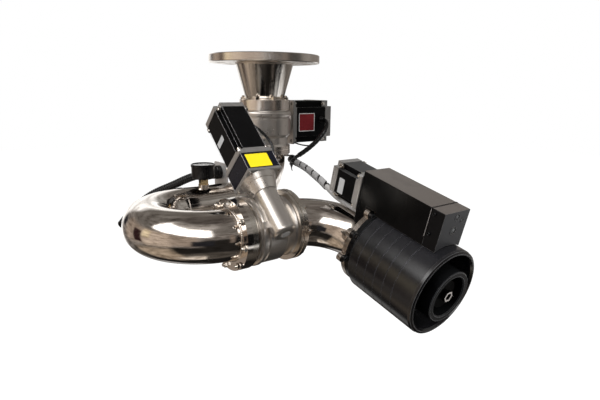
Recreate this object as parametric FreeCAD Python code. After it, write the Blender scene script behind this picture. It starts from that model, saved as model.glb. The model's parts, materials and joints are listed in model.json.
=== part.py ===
"""Remote-controlled fire monitor (water cannon) that hangs from its DN 80 inlet flange.

Origin: centre of the top face of the inlet flange. +Z up, -Y the way the nozzle points.
Water runs down through the pan swivel, round the loop, through the tilt swivel and out of the nozzle.
"""
import FreeCAD, Part
import math
import os
from FreeCAD import Matrix, Placement, Vector as V

os.makedirs("parts", exist_ok=True)

# Inlet: DN 80 PN 16 flange, welded reducer
FLANGE_R = 100.0
FLANGE_T = 14.0
FLANGE_PCD = 160.0
FLANGE_HOLES = 8
FLANGE_HOLE_R = 9.0
CONE_TOP_R = 52.3
CONE_LOW_R = 35.8
CONE_WALL = 3.0
CONE_LOW_Z = -78.4

# Water tube, 76.1 mm
TUBE_R = 38.05
TUBE_WALL = 3.0
BORE_R = TUBE_R - TUBE_WALL

# Swivel: a sleeve that stays still, with a worm wheel on it, and a housing that turns round it.
# Heights are along the flow, from the face between the collar and the sleeve's ring.
COLLAR_T = 9.1
RING_T = 9.0
SWIVEL_GAP = 0.4
CAP_END = 20.0
HOUSING_END = 74.0
OUTLET_END = 88.5
NECK_END = 97.0
SLEEVE_R = 33.0
SLEEVE_BORE_R = 29.5
SLEEVE_END = 72.0
RUNNING_FIT = 0.05
SCREW_R = 2.5
SCREW_HOLE_R = 2.6
LOOSE_FIT = 0.3
TILT_REACH = 7.0
NECK_DEPTH = 7.0
STOP_RISE = 5.5
STOP_W = 9.0
STOP_ANGLE = 23.0
WHEEL_Z = 36.0
WHEEL_W = 16.0
WHEEL_TEETH = 40
WHEEL_TIP_R = 41.4
WHEEL_ROOT_R = 38.0
CHAMBER_R = 43.2
BUSH_R = 37.0
BUSH_START = 56.0
CENTRE_DISTANCE = 52.0
WORM_R = 10.5
WORM_L = 44.0
SHOULDER = 53.5
BARREL_R = 17.5
BARREL_BORE_R = 12.0
BARREL_END = -43.0
BARREL_TOP = 27.0
BELL_SEAM = 43.0
SWIVEL_BOLTS = 8
PAN_Z = -87.5
PAN_COLLAR_R = 46.8
PAN_BODY_R = 46.8
PAN_OUTLET_R = 47.6
TILT_COLLAR_R = 52.7
TILT_BODY_R = 50.0
TILT_OUTLET_R = 54.6

# Tilt swivel and loop
TILT_X = -162.2
TILT_Y = -174.0
TILT_Z = -264.0
LOOP_R = -TILT_Y / 2
LOOP_X = TILT_X - COLLAR_T
ELBOW_R = PAN_Z - NECK_END - TILT_Z
NOZZLE_BEND_R = 87.0
NOZZLE_X = TILT_X + OUTLET_END + NOZZLE_BEND_R
NOZZLE_DOWN = math.radians(13.9)
DRIVE_UP = math.radians(43.8)

# Motors: frame side, front plate, body and rear cap lengths
PAN_MOTOR = (86.0, 9.0, 74.0, 15.0)
TILT_MOTOR = (56.4, 5.0, 82.0, 8.0)
SPRAY_MOTOR = (56.4, 12.0, 40.0, 11.0)
CORNER_NOTCH = 0.15
PAN_MOTOR_START = 74.0
BLOCK_START = 51.4
BLOCK_END = 88.0
BLOCK_PLATE_T = 4.0

# Nozzle, along its own axis from the tilt axis
STUB_END = 100.5
LOBED_T = 8.0
LOBES = 10
LOBE_PHASE = 6.0
PLAIN_LOBE = 6
LOBE_TIP_R = 70.0
LOBE_R = 6.5
LOBE_BOLT_R = 61.5
EAR_T = 5.0
BODY_FLANGE_R = 60.0
BODY_STEP = 120.0
BODY_R = 58.0
BODY_END = 204.0
SLEEVE_OUT_R = 64.3
NOZZLE_END = 241.0
INNER_TUBE_R = 38.0
INNER_BORE_R = 29.5
INNER_END = 249.0
GROOVES = 5
GROOVE_PITCH = 17.0
SPRAY_TRAVEL = 20.0

# Detector housing on top of the nozzle
BOX_HALF_W = 26.0
BOX_TOP = 114.5
BOX_START = 79.0
BOX_SEAM = 203.0
BOX_END = 224.0
BOX_WALL = 2.0
SPRAY_MOTOR_U = 78.5
SCREW_U = SPRAY_MOTOR_U
SKIRT_LOW = 33.0
SKIRT_END = 96.0

# Gauge and conduit
GAUGE_X = -133.0
GAUGE_Y = -8.0
GAUGE_R = 20.8
GAUGE_LOW = -211.0
GAUGE_TOP = -186.0
CONDUIT_R = 7.5
CONDUIT_Y = 22.0
CONDUIT_Z = -209.0
PLATE_X = -85.0

# Detector windows in the front face: across, up, radius
WINDOWS = [(1.5, 106.1, 4.2), (14.4, 99.6, 3.0), (1.3, 86.6, 5.5)]

# Cords: centre lines and radii. The tilt lead is given from the motor's side face, in the worm's frame.
CONDUIT_ROUTE = [
    (-88, 22, -209), (-118, 22, -209), (-146, 25, -214.5), (-174.4, 30.5, -226.3), (-201.8, 35.5, -235.5),
    (-222.9, 34.5, -245.8), (-242.9, 27.6, -258.1), (-256, 18.6, -267.6),
]
PAN_LEAD_ROUTE = [
    (145, 9, -119), (145, -4.8, -119), (140.7, -16.5, -124.6), (132.8, -22.8, -135), (120.8, -21.5, -150.6),
    (101, -20.5, -166), (77, -19, -180.5), (52, -21, -190),
]
EARTH_LEAD_ROUTE = [
    (78, 8.5, -163.2), (78.3, 4.3, -164.1), (80.6, -0.2, -165.5), (85.5, -5.5, -167), (93, -11.5, -168.3),
    (100.5, -15.5, -168.3),
]
TILT_LEAD_ROUTE = [
    (1.3, -8, 166), (1.6, -9, 158), (2.6, -13, 146), (3.0, -20, 120), (2.9, -24, 98), (2.0, -23, 84), (1.3, -20, 74),
]
HARNESS_ROUTE = [
    (45, -22, -190), (39, -45, -192.5), (32, -75, -194.5), (25, -102.5, -198), (18, -127, -202.8),
    (12, -150.7, -207.5), (7, -169, -212.2), (4, -186, -219), (2.3, -203, -226), (1.8, -222, -230.7),
    (2.2, -244, -236), (2.3, -264, -240.9),
]
HARNESS_R = 5.5
HARNESS_IN = (-11.0, 44.15)
LEAD_R = 3.6
THIN_LEAD_R = 1.4
CLIP_AT = (42.9, -30.0, -190.87)


# ---------------------------------------------------------------- helpers

def frame(origin, x_dir, z_dir):
    """Rigid placement with the given origin, X and Z directions."""
    x = V(*x_dir)
    z = V(*z_dir)
    y = z.cross(x)
    o = V(*origin)
    return Placement(Matrix(x.x, y.x, z.x, o.x, x.y, y.y, z.y, o.y, x.z, y.z, z.z, o.z, 0, 0, 0, 1))


def placed(shape, place):
    moved = shape.copy()
    moved.Placement = place.multiply(shape.Placement)
    return moved


def turned(profile):
    """Solid turned about Z from a closed outline of (radius, height) points."""
    points = [V(r, 0, z) for r, z in profile]
    face = Part.Face(Part.makePolygon(points + points[:1]))
    return face.revolve(V(0, 0, 0), V(0, 0, 1), 360)


def ring(r_out, r_in, low, high):
    return turned([(r_in, low), (r_out, low), (r_out, high), (r_in, high)])


def rod(radius, low, high, x=0.0, y=0.0):
    return Part.makeCylinder(radius, high - low, V(x, y, low))


def block(x0, x1, y0, y1, z0, z1):
    return Part.makeBox(x1 - x0, y1 - y0, z1 - z0, V(x0, y0, z0))


def fused(shapes):
    whole = shapes[0].multiFuse(shapes[1:]) if len(shapes) > 1 else shapes[0]
    return whole.removeSplitter()


def around(shape, count, first_deg=0.0):
    """Copies of the shape evenly spaced about Z."""
    copies = []
    for i in range(count):
        turn = FreeCAD.Rotation(V(0, 0, 1), first_deg + 360.0 * i / count)
        copies.append(placed(shape, Placement(V(0, 0, 0), turn)))
    return copies


def prism(points, low, high):
    corners = [V(x, y, low) for x, y in points]
    return Part.Face(Part.makePolygon(corners + corners[:1])).extrude(V(0, 0, high - low))


def hexagon(across, low, high, x=0.0, y=0.0):
    """Hexagon bar with chamfered top corners."""
    corner = across / 2 / math.cos(math.radians(30))
    points = []
    for i in range(6):
        turn = math.radians(60 * i + 30)
        points.append((x + corner * math.cos(turn), y + corner * math.sin(turn)))
    bar = prism(points, low, high)
    reach = high - low
    cone = Part.makeCone(across / 2 + reach * 1.8, across / 2 * 0.97, reach, V(x, y, low))
    return bar.common(cone)


def pipe_bend(centre, axis, start, start_dir, degrees, r_out, r_in):
    """Bent tube: a ring-shaped section at start, swung about the axis through centre."""
    outer, inner = [
        Part.Face(Part.Wire(Part.makeCircle(r, V(*start), V(*start_dir)))).revolve(V(*centre), V(*axis), degrees)
        for r in (r_out, r_in)
    ]
    return outer.cut(inner)


def pipe_run(start, direction, length, r_out, r_in):
    way = V(*direction)
    outer = Part.makeCylinder(r_out, length, V(*start), way)
    inner = Part.makeCylinder(r_in, length, V(*start), way)
    return outer.cut(inner)


def cord(name, points, radius, ease=0.45):
    """Round cord along straight runs joined by tangent arcs."""
    points = [V(*p) for p in points]
    edges = []
    at = points[0]
    radii = []
    for before, corner, after in zip(points, points[1:], points[2:]):
        back = (before - corner).normalize()
        ahead = (after - corner).normalize()
        half_turn = (math.pi - back.getAngle(ahead)) / 2
        reach = ease * min((before - corner).Length, (after - corner).Length)
        radii.append(reach / math.tan(half_turn))
        leave = corner + back * reach
        join = corner + ahead * reach
        bisector = (back + ahead).normalize()
        centre_gap = math.hypot(reach, radii[-1])
        middle = corner + bisector * (centre_gap - radii[-1])
        edges.append(Part.LineSegment(at, leave).toShape())
        edges.append(Part.Arc(leave, middle, join).toShape())
        at = join
    edges.append(Part.LineSegment(at, points[-1]).toShape())
    path = Part.Wire(edges)
    section = Part.Wire(Part.makeCircle(radius, points[0], points[1] - points[0]))
    tube = path.makePipeShell([section], True, False)
    expected = math.pi * radius ** 2 * path.Length
    print(name, "radii", [round(r) for r in radii], "volume ratio", round(tube.Volume / expected, 4))
    return tube


def save(name, *shapes):
    solids = [s for shape in shapes for s in shape.Solids]
    shape = solids[0] if len(solids) == 1 else Part.makeCompound(solids)
    shape.exportStep(f"parts/{name}.step")
    if not shape.isValid():
        print("INVALID", name)


# ---------------------------------------------------------------- frames

PAN = frame((0, 0, PAN_Z), (0, 1, 0), (0, 0, -1))
WORM_SIDE = (0, -math.sin(DRIVE_UP), math.cos(DRIVE_UP))
DRIVE_DIR = (0, math.cos(DRIVE_UP), math.sin(DRIVE_UP))
TILT = frame((TILT_X, TILT_Y, TILT_Z), WORM_SIDE, (1, 0, 0))
PAN_WORM = frame((0, CENTRE_DISTANCE, PAN_Z - WHEEL_Z), (0, 0, 1), (1, 0, 0))
TILT_WORM = frame(
    (TILT_X + WHEEL_Z, TILT_Y + CENTRE_DISTANCE * WORM_SIDE[1], TILT_Z + CENTRE_DISTANCE * WORM_SIDE[2]),
    (1, 0, 0),
    DRIVE_DIR,
)
NOZZLE = frame((NOZZLE_X, TILT_Y, TILT_Z), (1, 0, 0), (0, -math.cos(NOZZLE_DOWN), -math.sin(NOZZLE_DOWN)))


# ---------------------------------------------------------------- inlet

def inlet_flange():
    disc = ring(FLANGE_R, CONE_TOP_R - CONE_WALL, -FLANGE_T, 0)
    hole = rod(FLANGE_HOLE_R, -FLANGE_T - 1, 1, FLANGE_PCD / 2)
    rim = Part.makeCylinder(FLANGE_R, FLANGE_T, V(0, 0, -FLANGE_T))
    softened = rim.makeChamfer(1.2, [e for e in rim.Edges if e.Curve.TypeId == "Part::GeomCircle"])
    return disc.common(softened).cut(Part.makeCompound(around(hole, FLANGE_HOLES, 22.5)))


def inlet_cone():
    inner_top = CONE_TOP_R - CONE_WALL
    inner_low = CONE_LOW_R - CONE_WALL
    return turned([
        (CONE_TOP_R, -FLANGE_T), (CONE_TOP_R, -FLANGE_T - 3), (CONE_LOW_R, CONE_LOW_Z + 3), (CONE_LOW_R, CONE_LOW_Z),
        (inner_low, CONE_LOW_Z), (inner_low, CONE_LOW_Z + 3), (inner_top, -FLANGE_T - 3), (inner_top, -FLANGE_T),
    ])


# ---------------------------------------------------------------- swivels

def swivel_pieces(collar_r, body_r, outlet_r, hand, reach):
    """Pieces of one swivel in its flow frame. hand is +1 or -1: the way the motor lies along Y.

    reach is how far the bolted rings stand off from the bearing cap, on a neck.
    """
    collar_pcd_r = collar_r - 5.0
    outlet_pcd_r = outlet_r - 5.8
    joint = -reach
    stud_hole = rod(SCREW_HOLE_R, joint - COLLAR_T - 1, joint + RING_T - 2, collar_pcd_r)
    stud_holes = Part.makeCompound(around(stud_hole, SWIVEL_BOLTS, 11))
    collar = ring(collar_r, SLEEVE_BORE_R, joint - COLLAR_T, joint).cut(stud_holes)
    if reach:
        collar = collar.cut(rod(TUBE_R + 1.0, joint - COLLAR_T - 1, -COLLAR_T))
    sleeve = turned([
        (SLEEVE_BORE_R, joint), (collar_r, joint), (collar_r, joint + RING_T), (body_r - NECK_DEPTH, joint + RING_T + 1),
        (body_r - NECK_DEPTH, RING_T), (SLEEVE_R, RING_T), (SLEEVE_R, SLEEVE_END), (SLEEVE_BORE_R, SLEEVE_END),
    ] if reach else [
        (SLEEVE_BORE_R, 0), (collar_r, 0), (collar_r, RING_T), (SLEEVE_R, RING_T), (SLEEVE_R, SLEEVE_END),
        (SLEEVE_BORE_R, SLEEVE_END),
    ]).cut(stud_holes)
    nut = hexagon(8.0, 0, 4.6)
    stud = rod(SCREW_R, -COLLAR_T - RING_T + 3, 6.6)
    flip = FreeCAD.Rotation(V(1, 0, 0), 180)
    nut_at = Placement(V(collar_pcd_r, 0, joint - COLLAR_T), flip)
    studs = around(placed(nut.fuse(stud), nut_at), SWIVEL_BOLTS, 11)
    cap = turned([
        (SLEEVE_R + LOOSE_FIT, RING_T + SWIVEL_GAP), (body_r - 2.6, RING_T + SWIVEL_GAP),
        (body_r - 2.2, RING_T + 2), (body_r + 1.2, RING_T + 3.4), (body_r + 2.0, RING_T + 5),
        (body_r + 2.0, CAP_END - 2), (body_r + 1.2, CAP_END), (SLEEVE_R + LOOSE_FIT, CAP_END),
    ])
    chamber_start = WHEEL_Z - WHEEL_W / 2 - 0.5
    chamber_end = WHEEL_Z + WHEEL_W / 2 + 0.5
    body = turned([
        (CHAMBER_R, CAP_END), (body_r - 1.2, CAP_END), (body_r - 1.2, CAP_END + 3), (body_r, CAP_END + 4.5),
        (body_r, SHOULDER), (body_r - 4.0, SHOULDER + 5), (body_r - 4.3, HOUSING_END - 3.5),
        (body_r - 2.5, HOUSING_END), (BUSH_R, HOUSING_END), (BUSH_R, BUSH_START),
        (SLEEVE_R + LOOSE_FIT, BUSH_START), (SLEEVE_R + LOOSE_FIT, chamber_end), (CHAMBER_R, chamber_end),
    ])
    worm_turn = frame((CENTRE_DISTANCE, 0, WHEEL_Z), (0, 0, 1), (0, hand, 0))
    if reach:
        turn = 90 - STOP_ANGLE - math.degrees(DRIVE_UP)
        lug = block(body_r - 1, body_r + STOP_RISE, -STOP_W / 2, STOP_W / 2, RING_T + 2, CAP_END - 1)
        lug = placed(lug, Placement(V(0, 0, 0), FreeCAD.Rotation(V(0, 0, 1), turn)))
        cap = cap.fuse(lug.cut(rod(body_r - 1.5, 0, CAP_END + 1))).removeSplitter()
    cap = cap.cut(placed(rod(BARREL_R, BARREL_END, BARREL_TOP), worm_turn))
    barrel = Part.makeCylinder(BARREL_R, BARREL_TOP - BARREL_END, V(0, 0, BARREL_END))
    end_edges = [e for e in barrel.Edges if abs(e.BoundBox.ZMax - BARREL_END) < 0.01 and e.BoundBox.XLength > 1]
    barrel = barrel.makeFillet(6.0, end_edges)
    barrel_bore = rod(BARREL_BORE_R, BARREL_END + 6, BARREL_TOP + 1)
    plug_seat = rod(7.6, BARREL_END - 1, BARREL_END + 6)
    chamber = rod(CHAMBER_R, chamber_start, chamber_end)
    bore = rod(SLEEVE_R + LOOSE_FIT, CAP_END - 1, HOUSING_END + 1)
    housing = body.fuse(placed(barrel, worm_turn))
    for hollow in (placed(barrel_bore, worm_turn), placed(plug_seat, worm_turn), chamber, bore):
        housing = housing.cut(hollow)
    housing = housing.cut(rod(BUSH_R, BUSH_START, HOUSING_END + 1)).removeSplitter()
    bush = ring(BUSH_R, SLEEVE_R + RUNNING_FIT, BUSH_START, SLEEVE_END)
    wheel = worm_wheel()
    bolt_hole = rod(SCREW_HOLE_R, HOUSING_END + 4, OUTLET_END + 1, outlet_pcd_r)
    outlet = turned([
        (BORE_R - 4, HOUSING_END), (outlet_r, HOUSING_END), (outlet_r, HOUSING_END + 5.6),
        (outlet_r - 1.0, HOUSING_END + 6.1), (outlet_r - 1.0, HOUSING_END + 6.9),
        (outlet_r, HOUSING_END + 7.4), (outlet_r, OUTLET_END), (BORE_R - 4, OUTLET_END),
    ]).cut(Part.makeCompound(around(bolt_hole, SWIVEL_BOLTS, 4)))
    bolt = hexagon(8.0, 0, 4.6).fuse(rod(SCREW_R, -9, 0))
    bolts = around(placed(bolt, Placement(V(outlet_pcd_r, 0, OUTLET_END), FreeCAD.Rotation())), SWIVEL_BOLTS, 4)
    plug = turned([
        (0, BARREL_END + 6), (0, BARREL_END - 0.6), (6.6, BARREL_END - 0.6), (7.6, BARREL_END + 0.4),
        (7.6, BARREL_END + 6),
    ])
    return {
        "collar": [collar], "sleeve": [sleeve], "studs": studs, "bearing_cap": [cap], "housing": [housing],
        "bush": [bush], "worm_wheel": [wheel], "outlet_flange": [outlet], "outlet_bolts": bolts,
        "worm_plug": [placed(plug, worm_turn)],
    }


def worm_wheel():
    points = []
    for i in range(WHEEL_TEETH):
        for radius, share in ((WHEEL_ROOT_R, -0.32), (WHEEL_TIP_R, -0.14), (WHEEL_TIP_R, 0.14), (WHEEL_ROOT_R, 0.32)):
            turn = 2 * math.pi * (i + share) / WHEEL_TEETH
            points.append((radius * math.cos(turn), radius * math.sin(turn)))
    blank = prism(points, WHEEL_Z - WHEEL_W / 2, WHEEL_Z + WHEEL_W / 2)
    return blank.cut(rod(SLEEVE_R, 0, SLEEVE_END))


def worm(shaft_end):
    """Worm shaft along Z, worm at the middle, driven from the +Z end."""
    half = WORM_L / 2
    return turned([
        (0, BARREL_END + 6.5), (6, BARREL_END + 6.5), (6, -half), (WORM_R - 2, -half), (WORM_R, -half + 2),
        (WORM_R, half - 2), (WORM_R - 2, half), (6, half), (6, shaft_end), (0, shaft_end),
    ])


def worm_bell(end, end_r, place, swivel, body_r):
    """Bell between the worm barrel and the motor side, seated against the round housing beside it."""
    bell = turned([
        (7, BARREL_TOP), (BARREL_R + 0.4, BARREL_TOP), (BARREL_R + 1.2, BARREL_TOP + 0.8),
        (24, BELL_SEAM - 0.7), (23.2, BELL_SEAM), (24.2, BELL_SEAM + 0.7), (end_r, end), (7, end),
    ])
    housing = rod(body_r + 0.1, CAP_END, HOUSING_END).fuse(rod(body_r + 2.1, RING_T, CAP_END + 0.1))
    return placed(bell, place).cut(placed(housing, swivel))


# ---------------------------------------------------------------- motors

def notched_square(side, notch):
    h = side / 2
    q = h - notch
    return [(q, -h), (q, -q), (h, -q), (h, q), (q, q), (q, h), (-q, h), (-q, q), (-h, q), (-h, -q), (-q, -q), (-q, -h)]


def chamfered_square(side, cut):
    h = side / 2
    q = h - cut
    return [(q, -h), (h, -q), (h, q), (q, h), (-q, h), (-h, q), (-h, -q), (-q, -h)]


def stepper(size, start):
    """Front plate, wound body and rear cap of a square motor whose mounting face is at start."""
    side, plate_t, body_l, cap_l = size
    notch = side * CORNER_NOTCH
    plate_end = start + plate_t
    body_end = plate_end + body_l
    flange_end = start + plate_t * 0.62
    plate = prism(chamfered_square(side, side * 0.04), start, flange_end)
    plate = plate.fuse(prism(notched_square(side * 0.985, notch), flange_end - 0.01, plate_end)).removeSplitter()
    plate = plate.cut(rod(side * 0.13, start - 1, plate_end + 1))
    screw_at = side * 0.42
    for x in (-screw_at, screw_at):
        for y in (-screw_at, screw_at):
            plate = plate.cut(rod(side * 0.035, start - 1, plate_end + 1, x, y))
    body = prism(notched_square(side * 0.97, notch), plate_end, body_end)
    cap = prism(notched_square(side * 0.985, notch * 0.9), body_end, body_end + cap_l)
    return plate, body, cap


def save_motor(prefix, size, start, place):
    plate, body, cap = stepper(size, start)
    save(prefix + "_end_plates", placed(plate, place), placed(cap, place))
    save(prefix + "_body", placed(body, place))


# ---------------------------------------------------------------- water loop

def swivel_elbow():
    neck = placed(turned([
        (BORE_R - 4, OUTLET_END), (36, OUTLET_END), (36, OUTLET_END + 5.5), (TUBE_R, NECK_END),
        (BORE_R, NECK_END), (BORE_R - 4, NECK_END - 4),
    ]), PAN)
    top = PAN_Z - NECK_END
    bend = pipe_bend((-ELBOW_R, 0, top), (0, 1, 0), (0, 0, top), (0, 0, -1), 90, TUBE_R, BORE_R)
    return fused([neck, bend])


def rear_leg():
    """Straight tube with a weld bead at each end and the gauge boss on top."""
    run = pipe_run((-ELBOW_R, 0, TILT_Z), (-1, 0, 0), -LOOP_X - ELBOW_R, TUBE_R, BORE_R)
    boss = Part.makeCylinder(9, 12, V(GAUGE_X, GAUGE_Y, TILT_Z + TUBE_R - 8))
    hollow = Part.makeCylinder(BORE_R, 400, V(-400, 0, TILT_Z), V(1, 0, 0))
    beads = [
        pipe_run((x, 0, TILT_Z), (-1, 0, 0), 2.5, TUBE_R + 0.7, BORE_R) for x in (-ELBOW_R, LOOP_X + 2.5)
    ]
    return fused([run, boss.cut(hollow)] + beads)


def u_bend():
    return pipe_bend((LOOP_X, -LOOP_R, TILT_Z), (0, 0, 1), (LOOP_X, 0, TILT_Z), (-1, 0, 0), 180, TUBE_R, BORE_R)


def outlet_elbow():
    centre = NOZZLE.multVec(V(-NOZZLE_BEND_R, 0, NOZZLE_BEND_R))
    start = NOZZLE.multVec(V(-NOZZLE_BEND_R, 0, 0))
    down = NOZZLE.Rotation.multVec(V(0, -1, 0))
    bend = pipe_bend(centre, down, start, (1, 0, 0), 90, TUBE_R, BORE_R)
    stub = placed(ring(TUBE_R, BORE_R, NOZZLE_BEND_R, STUB_END), NOZZLE)
    return fused([bend, stub])


# ---------------------------------------------------------------- nozzle, in its own frame

def at_lobes(shape):
    """Copies of the shape at every lobe but the plain one."""
    return [copy for i, copy in enumerate(around(shape, LOBES, LOBE_PHASE)) if i != PLAIN_LOBE]


def lobed_flange():
    """Scalloped flange welded to the outlet elbow. One lobe is left off at the lower left."""
    disc = rod(LOBE_TIP_R - LOBE_R - 3, STUB_END, STUB_END + LOBED_T)
    lobe = rod(LOBE_R, STUB_END, STUB_END + LOBED_T, LOBE_TIP_R - LOBE_R)
    hole = rod(SCREW_HOLE_R, STUB_END - 1, STUB_END + LOBED_T + 1, LOBE_BOLT_R)
    scallop = rod(LOBE_R + 2, STUB_END - 1, STUB_END + LOBED_T + 1, LOBE_TIP_R + 1.5)
    plate = fused([disc] + at_lobes(lobe))
    plate = plate.cut(Part.makeCompound(around(scallop, LOBES, LOBE_PHASE + 180 / LOBES)))
    return plate.cut(Part.makeCompound(at_lobes(hole))).cut(rod(BORE_R, 0, NOZZLE_END))


def lobe_screws():
    """Button heads behind the flange, shanks into the nozzle body."""
    head = turned([(0, 0), (4.6, 0), (4.6, 1.2), (3.2, 2.8), (0, 2.8)])
    screw = head.fuse(rod(SCREW_R, -LOBED_T - EAR_T, 0))
    flip = FreeCAD.Rotation(V(1, 0, 0), 180)
    return at_lobes(placed(screw, Placement(V(LOBE_BOLT_R, 0, STUB_END), flip)))


def nozzle_body():
    base = STUB_END + LOBED_T
    body = turned([
        (BORE_R, base), (BODY_FLANGE_R - 1, base), (BODY_FLANGE_R, base + 1), (BODY_FLANGE_R, BODY_STEP - 3),
        (BODY_R, BODY_STEP - 2.5), (BODY_R, BODY_END - 1.5), (BODY_R - 1.5, BODY_END), (INNER_TUBE_R, BODY_END),
        (INNER_TUBE_R, base + 8), (BORE_R, base + 4),
    ])
    ears = at_lobes(rod(4.4, base, base + EAR_T, LOBE_BOLT_R))
    hole = rod(SCREW_HOLE_R, base - 1, base + EAR_T, LOBE_BOLT_R)
    return fused([body] + ears).cut(Part.makeCompound(at_lobes(hole))).cut(rod(BORE_R, 0, base + 4))


def inner_tube():
    base = STUB_END + LOBED_T + 8
    return turned([
        (INNER_BORE_R, base), (INNER_TUBE_R, base), (INNER_TUBE_R, INNER_END - 1), (INNER_TUBE_R - 1, INNER_END),
        (INNER_BORE_R + 1.5, INNER_END), (INNER_BORE_R, INNER_END - 1.5),
    ])


def deflector():
    """Deflector head on a stem, held on the axis by three vanes."""
    base = STUB_END + LOBED_T + 14
    head = INNER_END - 18
    post = turned([
        (0, base), (3, base), (6, base + 8), (6, head), (9, head), (20, head + 9), (22, head + 11),
        (22, head + 13.5), (4, head + 13.5), (4, head + 20), (0, head + 20),
    ])
    vane = block(5, INNER_BORE_R, -1.2, 1.2, base + 10, base + 34)
    return fused([post] + around(vane, 3, 90)).common(rod(INNER_BORE_R, 0, NOZZLE_END))


def hub_nut():
    return hexagon(15.0, INNER_END - 6, INNER_END - 0.5).cut(rod(4.4, 0, INNER_END + 1))


def spray_sleeve():
    groove = []
    for i in range(GROOVES):
        z = BODY_STEP + 17 + GROOVE_PITCH * i
        groove += [(SLEEVE_OUT_R, z - 0.5), (SLEEVE_OUT_R - 0.7, z), (SLEEVE_OUT_R, z + 0.5)]
    inner = BODY_R + RUNNING_FIT
    barrel = turned([
        (inner, BODY_STEP), (SLEEVE_OUT_R - 1.5, BODY_STEP), (SLEEVE_OUT_R, BODY_STEP + 1.5), *groove,
        (SLEEVE_OUT_R, NOZZLE_END - 5), (SLEEVE_OUT_R - 1.3, NOZZLE_END - 1.5), (SLEEVE_OUT_R - 3.5, NOZZLE_END),
        (inner + 0.6, NOZZLE_END), (inner - 1.0, NOZZLE_END - 3), (inner - 1.0, BODY_END + 6), (inner, BODY_END + 4),
    ])
    return fused([barrel, spray_arm()])


# ---------------------------------------------------------------- detector housing and spray drive

def arch():
    """Space under the housing that clears the sliding sleeve and the lobed flange."""
    clear = SLEEVE_OUT_R + 1.0
    return rod(clear, BOX_START - 1, BOX_END + 1).fuse(rod(LOBE_TIP_R + 0.8, SKIRT_END, STUB_END + LOBED_T + 8))


def shell(z0, z1, wall, front, rear):
    outer = block(-BOX_HALF_W, BOX_HALF_W, 58, BOX_TOP, z0, z1)
    long_edges = [e for e in outer.Edges if e.BoundBox.ZLength > 1 and e.BoundBox.YMin > BOX_TOP - 1]
    outer = outer.makeFillet(1.2, long_edges)
    hollow = block(-BOX_HALF_W + wall, BOX_HALF_W - wall, 50, BOX_TOP - wall,
                   z0 + (wall if rear else -1), z1 - (wall if front else -1))
    return outer.cut(hollow).cut(arch())


def detector_cover():
    """Long box behind the seam, with a skirt at the back that comes down to the water tube."""
    cover = shell(BOX_START, BOX_SEAM, BOX_WALL, False, True)
    skirt = block(-BOX_HALF_W, BOX_HALF_W, SKIRT_LOW, 68, BOX_START, SKIRT_END)
    inner = BOX_HALF_W - BOX_WALL
    skirt = skirt.cut(block(-inner, inner, SKIRT_LOW - 1, 90, BOX_START + BOX_WALL, SKIRT_END + 1))
    cover = cover.fuse(skirt.cut(rod(TUBE_R + 1.0, BOX_START - 1, SKIRT_END + 1))).removeSplitter()
    gland = rod(HARNESS_R + 0.4, BOX_START - 1, BOX_START + BOX_WALL + 1, *HARNESS_IN)
    return cover.cut(gland).cut(rod(SPRAY_MOTOR[0] * 0.13, BOX_START - 1, BOX_START + 4, 0, SPRAY_MOTOR_U))


def detector_front():
    lip = 0.4
    cap = shell(BOX_SEAM + lip, BOX_END, 3.0, True, False)
    for x, u, r in WINDOWS:
        cap = cap.cut(rod(r, BOX_END - 4, BOX_END + 1, x, u))
    tongue = block(-BOX_HALF_W + BOX_WALL, BOX_HALF_W - BOX_WALL, 72, BOX_TOP - BOX_WALL, BOX_SEAM - 4, BOX_SEAM + lip)
    inside = block(-BOX_HALF_W + 3, BOX_HALF_W - 3, 50, BOX_TOP - 3, BOX_SEAM - 5, BOX_SEAM + 1)
    return cap.fuse(tongue.cut(inside)).removeSplitter()


def windows():
    return [rod(r, BOX_END - 2.4, BOX_END - 0.4, x, u) for x, u, r in WINDOWS]


def bracket():
    plate = block(-22, 22, 70.9, 73.4, BOX_START + 3, BOX_SEAM - 6)
    slot = block(-9.5, 9.5, 60, 80, 148, 192)
    foot = block(-10, 3, 50, 73.4, STUB_END - 4, STUB_END)
    post = block(-14, 14, 73.4, SCREW_U + 9, BOX_SEAM - 10, BOX_SEAM - 6)
    bearing = rod(4 + RUNNING_FIT, BOX_SEAM - 12, BOX_SEAM, 0, SCREW_U)
    return fused([plate, foot, post]).cut(slot).cut(bearing)


def spray_screw():
    return rod(4.0, BOX_START + 3, BOX_SEAM - 6.5, 0, SCREW_U)


def spray_arm():
    """Arm that stands on the sleeve, with the nut that the screw drives."""
    foot = block(-5, 5, SLEEVE_OUT_R - 2, SCREW_U, 154, 166)
    nut = rod(8.5, 154, 166, 0, SCREW_U)
    return foot.fuse(nut).cut(rod(4.0 + RUNNING_FIT, 150, 170, 0, SCREW_U))


# ---------------------------------------------------------------- gauge and conduit

def gauge_stem():
    low = TILT_Z + TUBE_R + 4
    hexed = hexagon(14.0, low, GAUGE_LOW - 2, GAUGE_X, GAUGE_Y)
    return hexed.fuse(rod(4.5, GAUGE_LOW - 2, GAUGE_LOW, GAUGE_X, GAUGE_Y)).removeSplitter()


def at_gauge(shape):
    return placed(shape, Placement(V(GAUGE_X, GAUGE_Y, 0), FreeCAD.Rotation()))


def gauge_case():
    return turned([
        (0, GAUGE_LOW), (GAUGE_R - 2.5, GAUGE_LOW), (GAUGE_R - 0.8, GAUGE_LOW + 2), (GAUGE_R - 0.8, GAUGE_TOP - 5),
        (GAUGE_R, GAUGE_TOP - 4.5), (GAUGE_R, GAUGE_TOP - 0.8), (GAUGE_R - 0.8, GAUGE_TOP), (GAUGE_R - 2.3, GAUGE_TOP),
        (GAUGE_R - 2.3, GAUGE_TOP - 7), (0, GAUGE_TOP - 7),
    ])


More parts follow.
